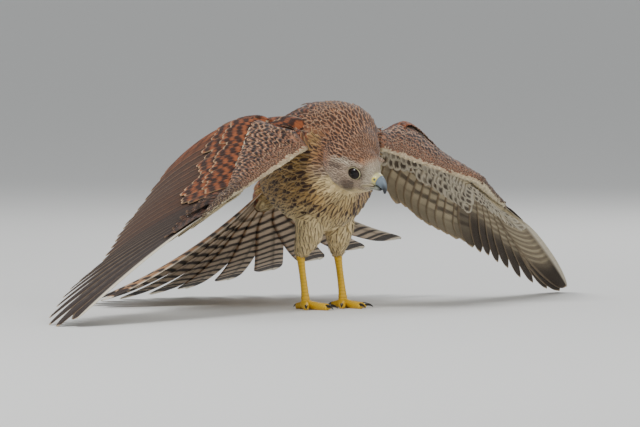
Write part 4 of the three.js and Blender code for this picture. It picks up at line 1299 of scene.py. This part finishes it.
def contour_feathers(name, chosen, rows, columns, material):
    """One mesh of small feathers that follow the skin from the chosen places."""
    n = len(chosen)
    here = {key: values[chosen] for key, values in plan.items()}
    streak, bars, fringe = (here[key][:, None, None] for key in ("streak", "bars", "fringe"))
    root, out = places[chosen], unit(ways_out[chosen])
    way = unit(here["way"] + chance.normal(0, 0.07, (n, 3)))
    length = here["length"] * chance.uniform(0.85, 1.15, n)
    width = here["width"] * chance.uniform(0.88, 1.12, n)
    stand = here["stand"] * chance.uniform(0.8, 1.25, n)
    middle, middle_out = nearest_skin(root + way * (length / 2)[:, None])
    onward = unit(middle - root)
    onward = unit(onward * 0.5
                  + unit(onward - middle_out * np.einsum("ij,ij->i", onward, middle_out)[:, None]))
    tip, tip_out = nearest_skin(middle + onward * (length / 2)[:, None])
    start = root - out * 0.35
    middle = middle + middle_out * (0.62 * stand)[:, None]
    tip = tip + tip_out * stand[:, None]
    t = 1 - (1 - np.linspace(0, 1, rows)) ** 1.25
    across = np.linspace(1, -1, columns)
    run, aside_run = t[None, :, None], np.abs(across)[None, None, :]
    t_grid = np.broadcast_to(run, (n, rows, columns)).copy()
    t_grid += chance.uniform(-1, 1, (n, 1, columns)) * 0.05 * ease(0.6, 1.0, run)
    t_grid += 0.05 * (1 - aside_run) * ease(0.5, 1.0, run)
    t_grid = np.clip(t_grid, 0.0, 1.08)[..., None]

    def three_points(first, second, third):
        return (first[:, None, None] * (2 * t_grid**2 - 3 * t_grid + 1)
                + second[:, None, None] * (4 * t_grid - 4 * t_grid**2)
                + third[:, None, None] * (2 * t_grid**2 - t_grid))

    raised = unit(three_points(out, middle_out, tip_out))
    aside = unit(np.cross(raised, unit(tip - start)[:, None, None]))
    outline = np.sqrt(np.clip(1 - ((t - 0.55) / 0.47).clip(0, 1) ** 2, 0.0025, 1))
    outline = (0.4 + 0.6 * ease(0.0, 0.45, t)) * outline
    half_width = width[:, None, None] * outline[None, :, None] * across[None, None, :]
    droop = 0.22 * np.abs(half_width) * aside_run
    thickness = 0.05 + 0.05 * width[:, None, None] / 4 * (1 - 0.7 * aside_run)
    thickness = thickness * (1 - 0.7 * run)
    flat = three_points(start, middle, tip) + aside * half_width[..., None] - raised * droop[..., None]
    over, below = flat + raised * thickness[..., None], flat - raised * thickness[..., None]
    rings = np.concatenate([over, below[:, :, -2:0:-1]], axis=2)

    # Marks: a dark streak along the shaft, or dark bars with a pale fringe
    streak_width = streak * (0.35 + 0.65 * ease(0.15, 0.7, run)) * ease(1.0, 0.9, run)
    dark = ease(streak_width + 0.22, streak_width - 0.12, aside_run + 0 * streak) * (streak > 0.03)
    at_bar = chance.uniform(0.76, 0.82, n)[:, None, None]
    bent = run + 0.12 * aside_run
    barred = np.maximum(band(bent, at_bar, 0.13, 0.035), band(bent, at_bar - 0.28, 0.08, 0.04))
    dark = np.maximum(dark * (1 - 0.5 * bars), bars * barred)
    rim = np.maximum(ease(0.93, 0.985, run), ease(0.74, 1.0, aside_run) * ease(0.4, 0.8, run))
    light = chance.uniform(0.86, 1.14, n)[:, None, None, None]
    shade = blend(here["colour"][:, None, None] * light, here["mark"][:, None, None], dark)
    shade = blend(shade, here["edge"][:, None, None], fringe * rim * (1 - dark * 0.3))
    shade = np.concatenate([shade, shade[:, :, -2:0:-1] * 0.9], axis=2)

    # For the bake each vane has a small patch of the skin's map
    corner = grid_corners(rows, rings.shape[2])
    patch = bake_at[chosen][:, None, None] + (corner[None] - 0.5) * bake_patch
    piece = make_piece(name, rings.reshape(-1, 3), tube_faces(n, rows, rings.shape[2]), shade.reshape(-1, 3),
                       {"Vane": vane_map(corner, length), "OFBake": patch})
    piece.data.materials.append(material)


soft_feather = plumage_material("soft feather", 2.2, 0.00006)
small = plan["length"][keep] < small_length
on_wing = plan["part"][keep] == parts.index("wing")
on_back = plan["bars"][keep] > 0.5
# Groups: name, members, rows and columns of each vane, and slot
groups = [
    ("head_feathers", small, 7, 5, "back_plumage"),
    ("back_feathers", ~small & ~on_wing & on_back, 10, 7, "back_plumage"),
    ("breast_feathers", ~small & ~on_wing & ~on_back, 8, 7, "breast_plumage"),
    ("wing_covert_feathers", ~small & on_wing, 9, 7, "back_plumage"),
]
for name, members, rows, columns, slot in groups:
    chosen = keep[members]
    per_feather = (rows - 1) * (2 * columns - 2) * 2
    pieces = max(1, math.ceil(len(chosen) / (most_triangles // per_feather)))
    for k, share in enumerate(np.array_split(chosen, pieces)):
        contour_feathers(f"{name}_{k + 1}", share, rows, columns, soft_feather)

# Floor and light
# A plain pale floor under the bird, with a large soft light above and to the left, a weaker one on
# the right, one behind the bird and a pale even sky.
floor_reach = 90.0
floor_mesh = bpy.data.meshes.new("floor")
floor_corners = [(x * floor_reach, y * floor_reach, 0.0) for x, y in ((-1, -1), (1, -1), (1, 1), (-1, 1))]
floor_mesh.from_pydata(floor_corners, [], [(0, 1, 2, 3)])
floor = put_in_scene("floor", floor_mesh)
floor_paint = bpy.data.materials.new("floor")
floor_paint.use_nodes = True
floor_shader = floor_paint.node_tree.nodes["Principled BSDF"]
floor_shader.inputs["Base Color"].default_value = (0.78, 0.78, 0.76, 1)
floor_shader.inputs["Roughness"].default_value = 0.85
floor_mesh.materials.append(floor_paint)


def soft_light(name, place, size, power):
    """A square lamp that faces the middle of the bird."""
    light = bpy.data.lights.new(name, "AREA")
    light.size = size
    light.energy = power
    lamp = put_in_scene(name, light)
    lamp.location = place
    lamp.rotation_euler = (Vector((0, 0, 0.08)) - Vector(place)).to_track_quat("-Z", "Y").to_euler()


soft_light("key", (-1.3, -1.5, 1.9), 0.9, 52)
soft_light("fill", (1.6, -1.2, 0.9), 1.4, 12)
soft_light("rim", (0.6, 1.6, 1.4), 1.0, 16)
sky = bpy.data.worlds.new("sky")
bpy.context.scene.world = sky
sky.use_nodes = True
dome = sky.node_tree.nodes["Background"]
dome.inputs["Color"].default_value = (0.86, 0.88, 0.9, 1)
dome.inputs["Strength"].default_value = 0.55
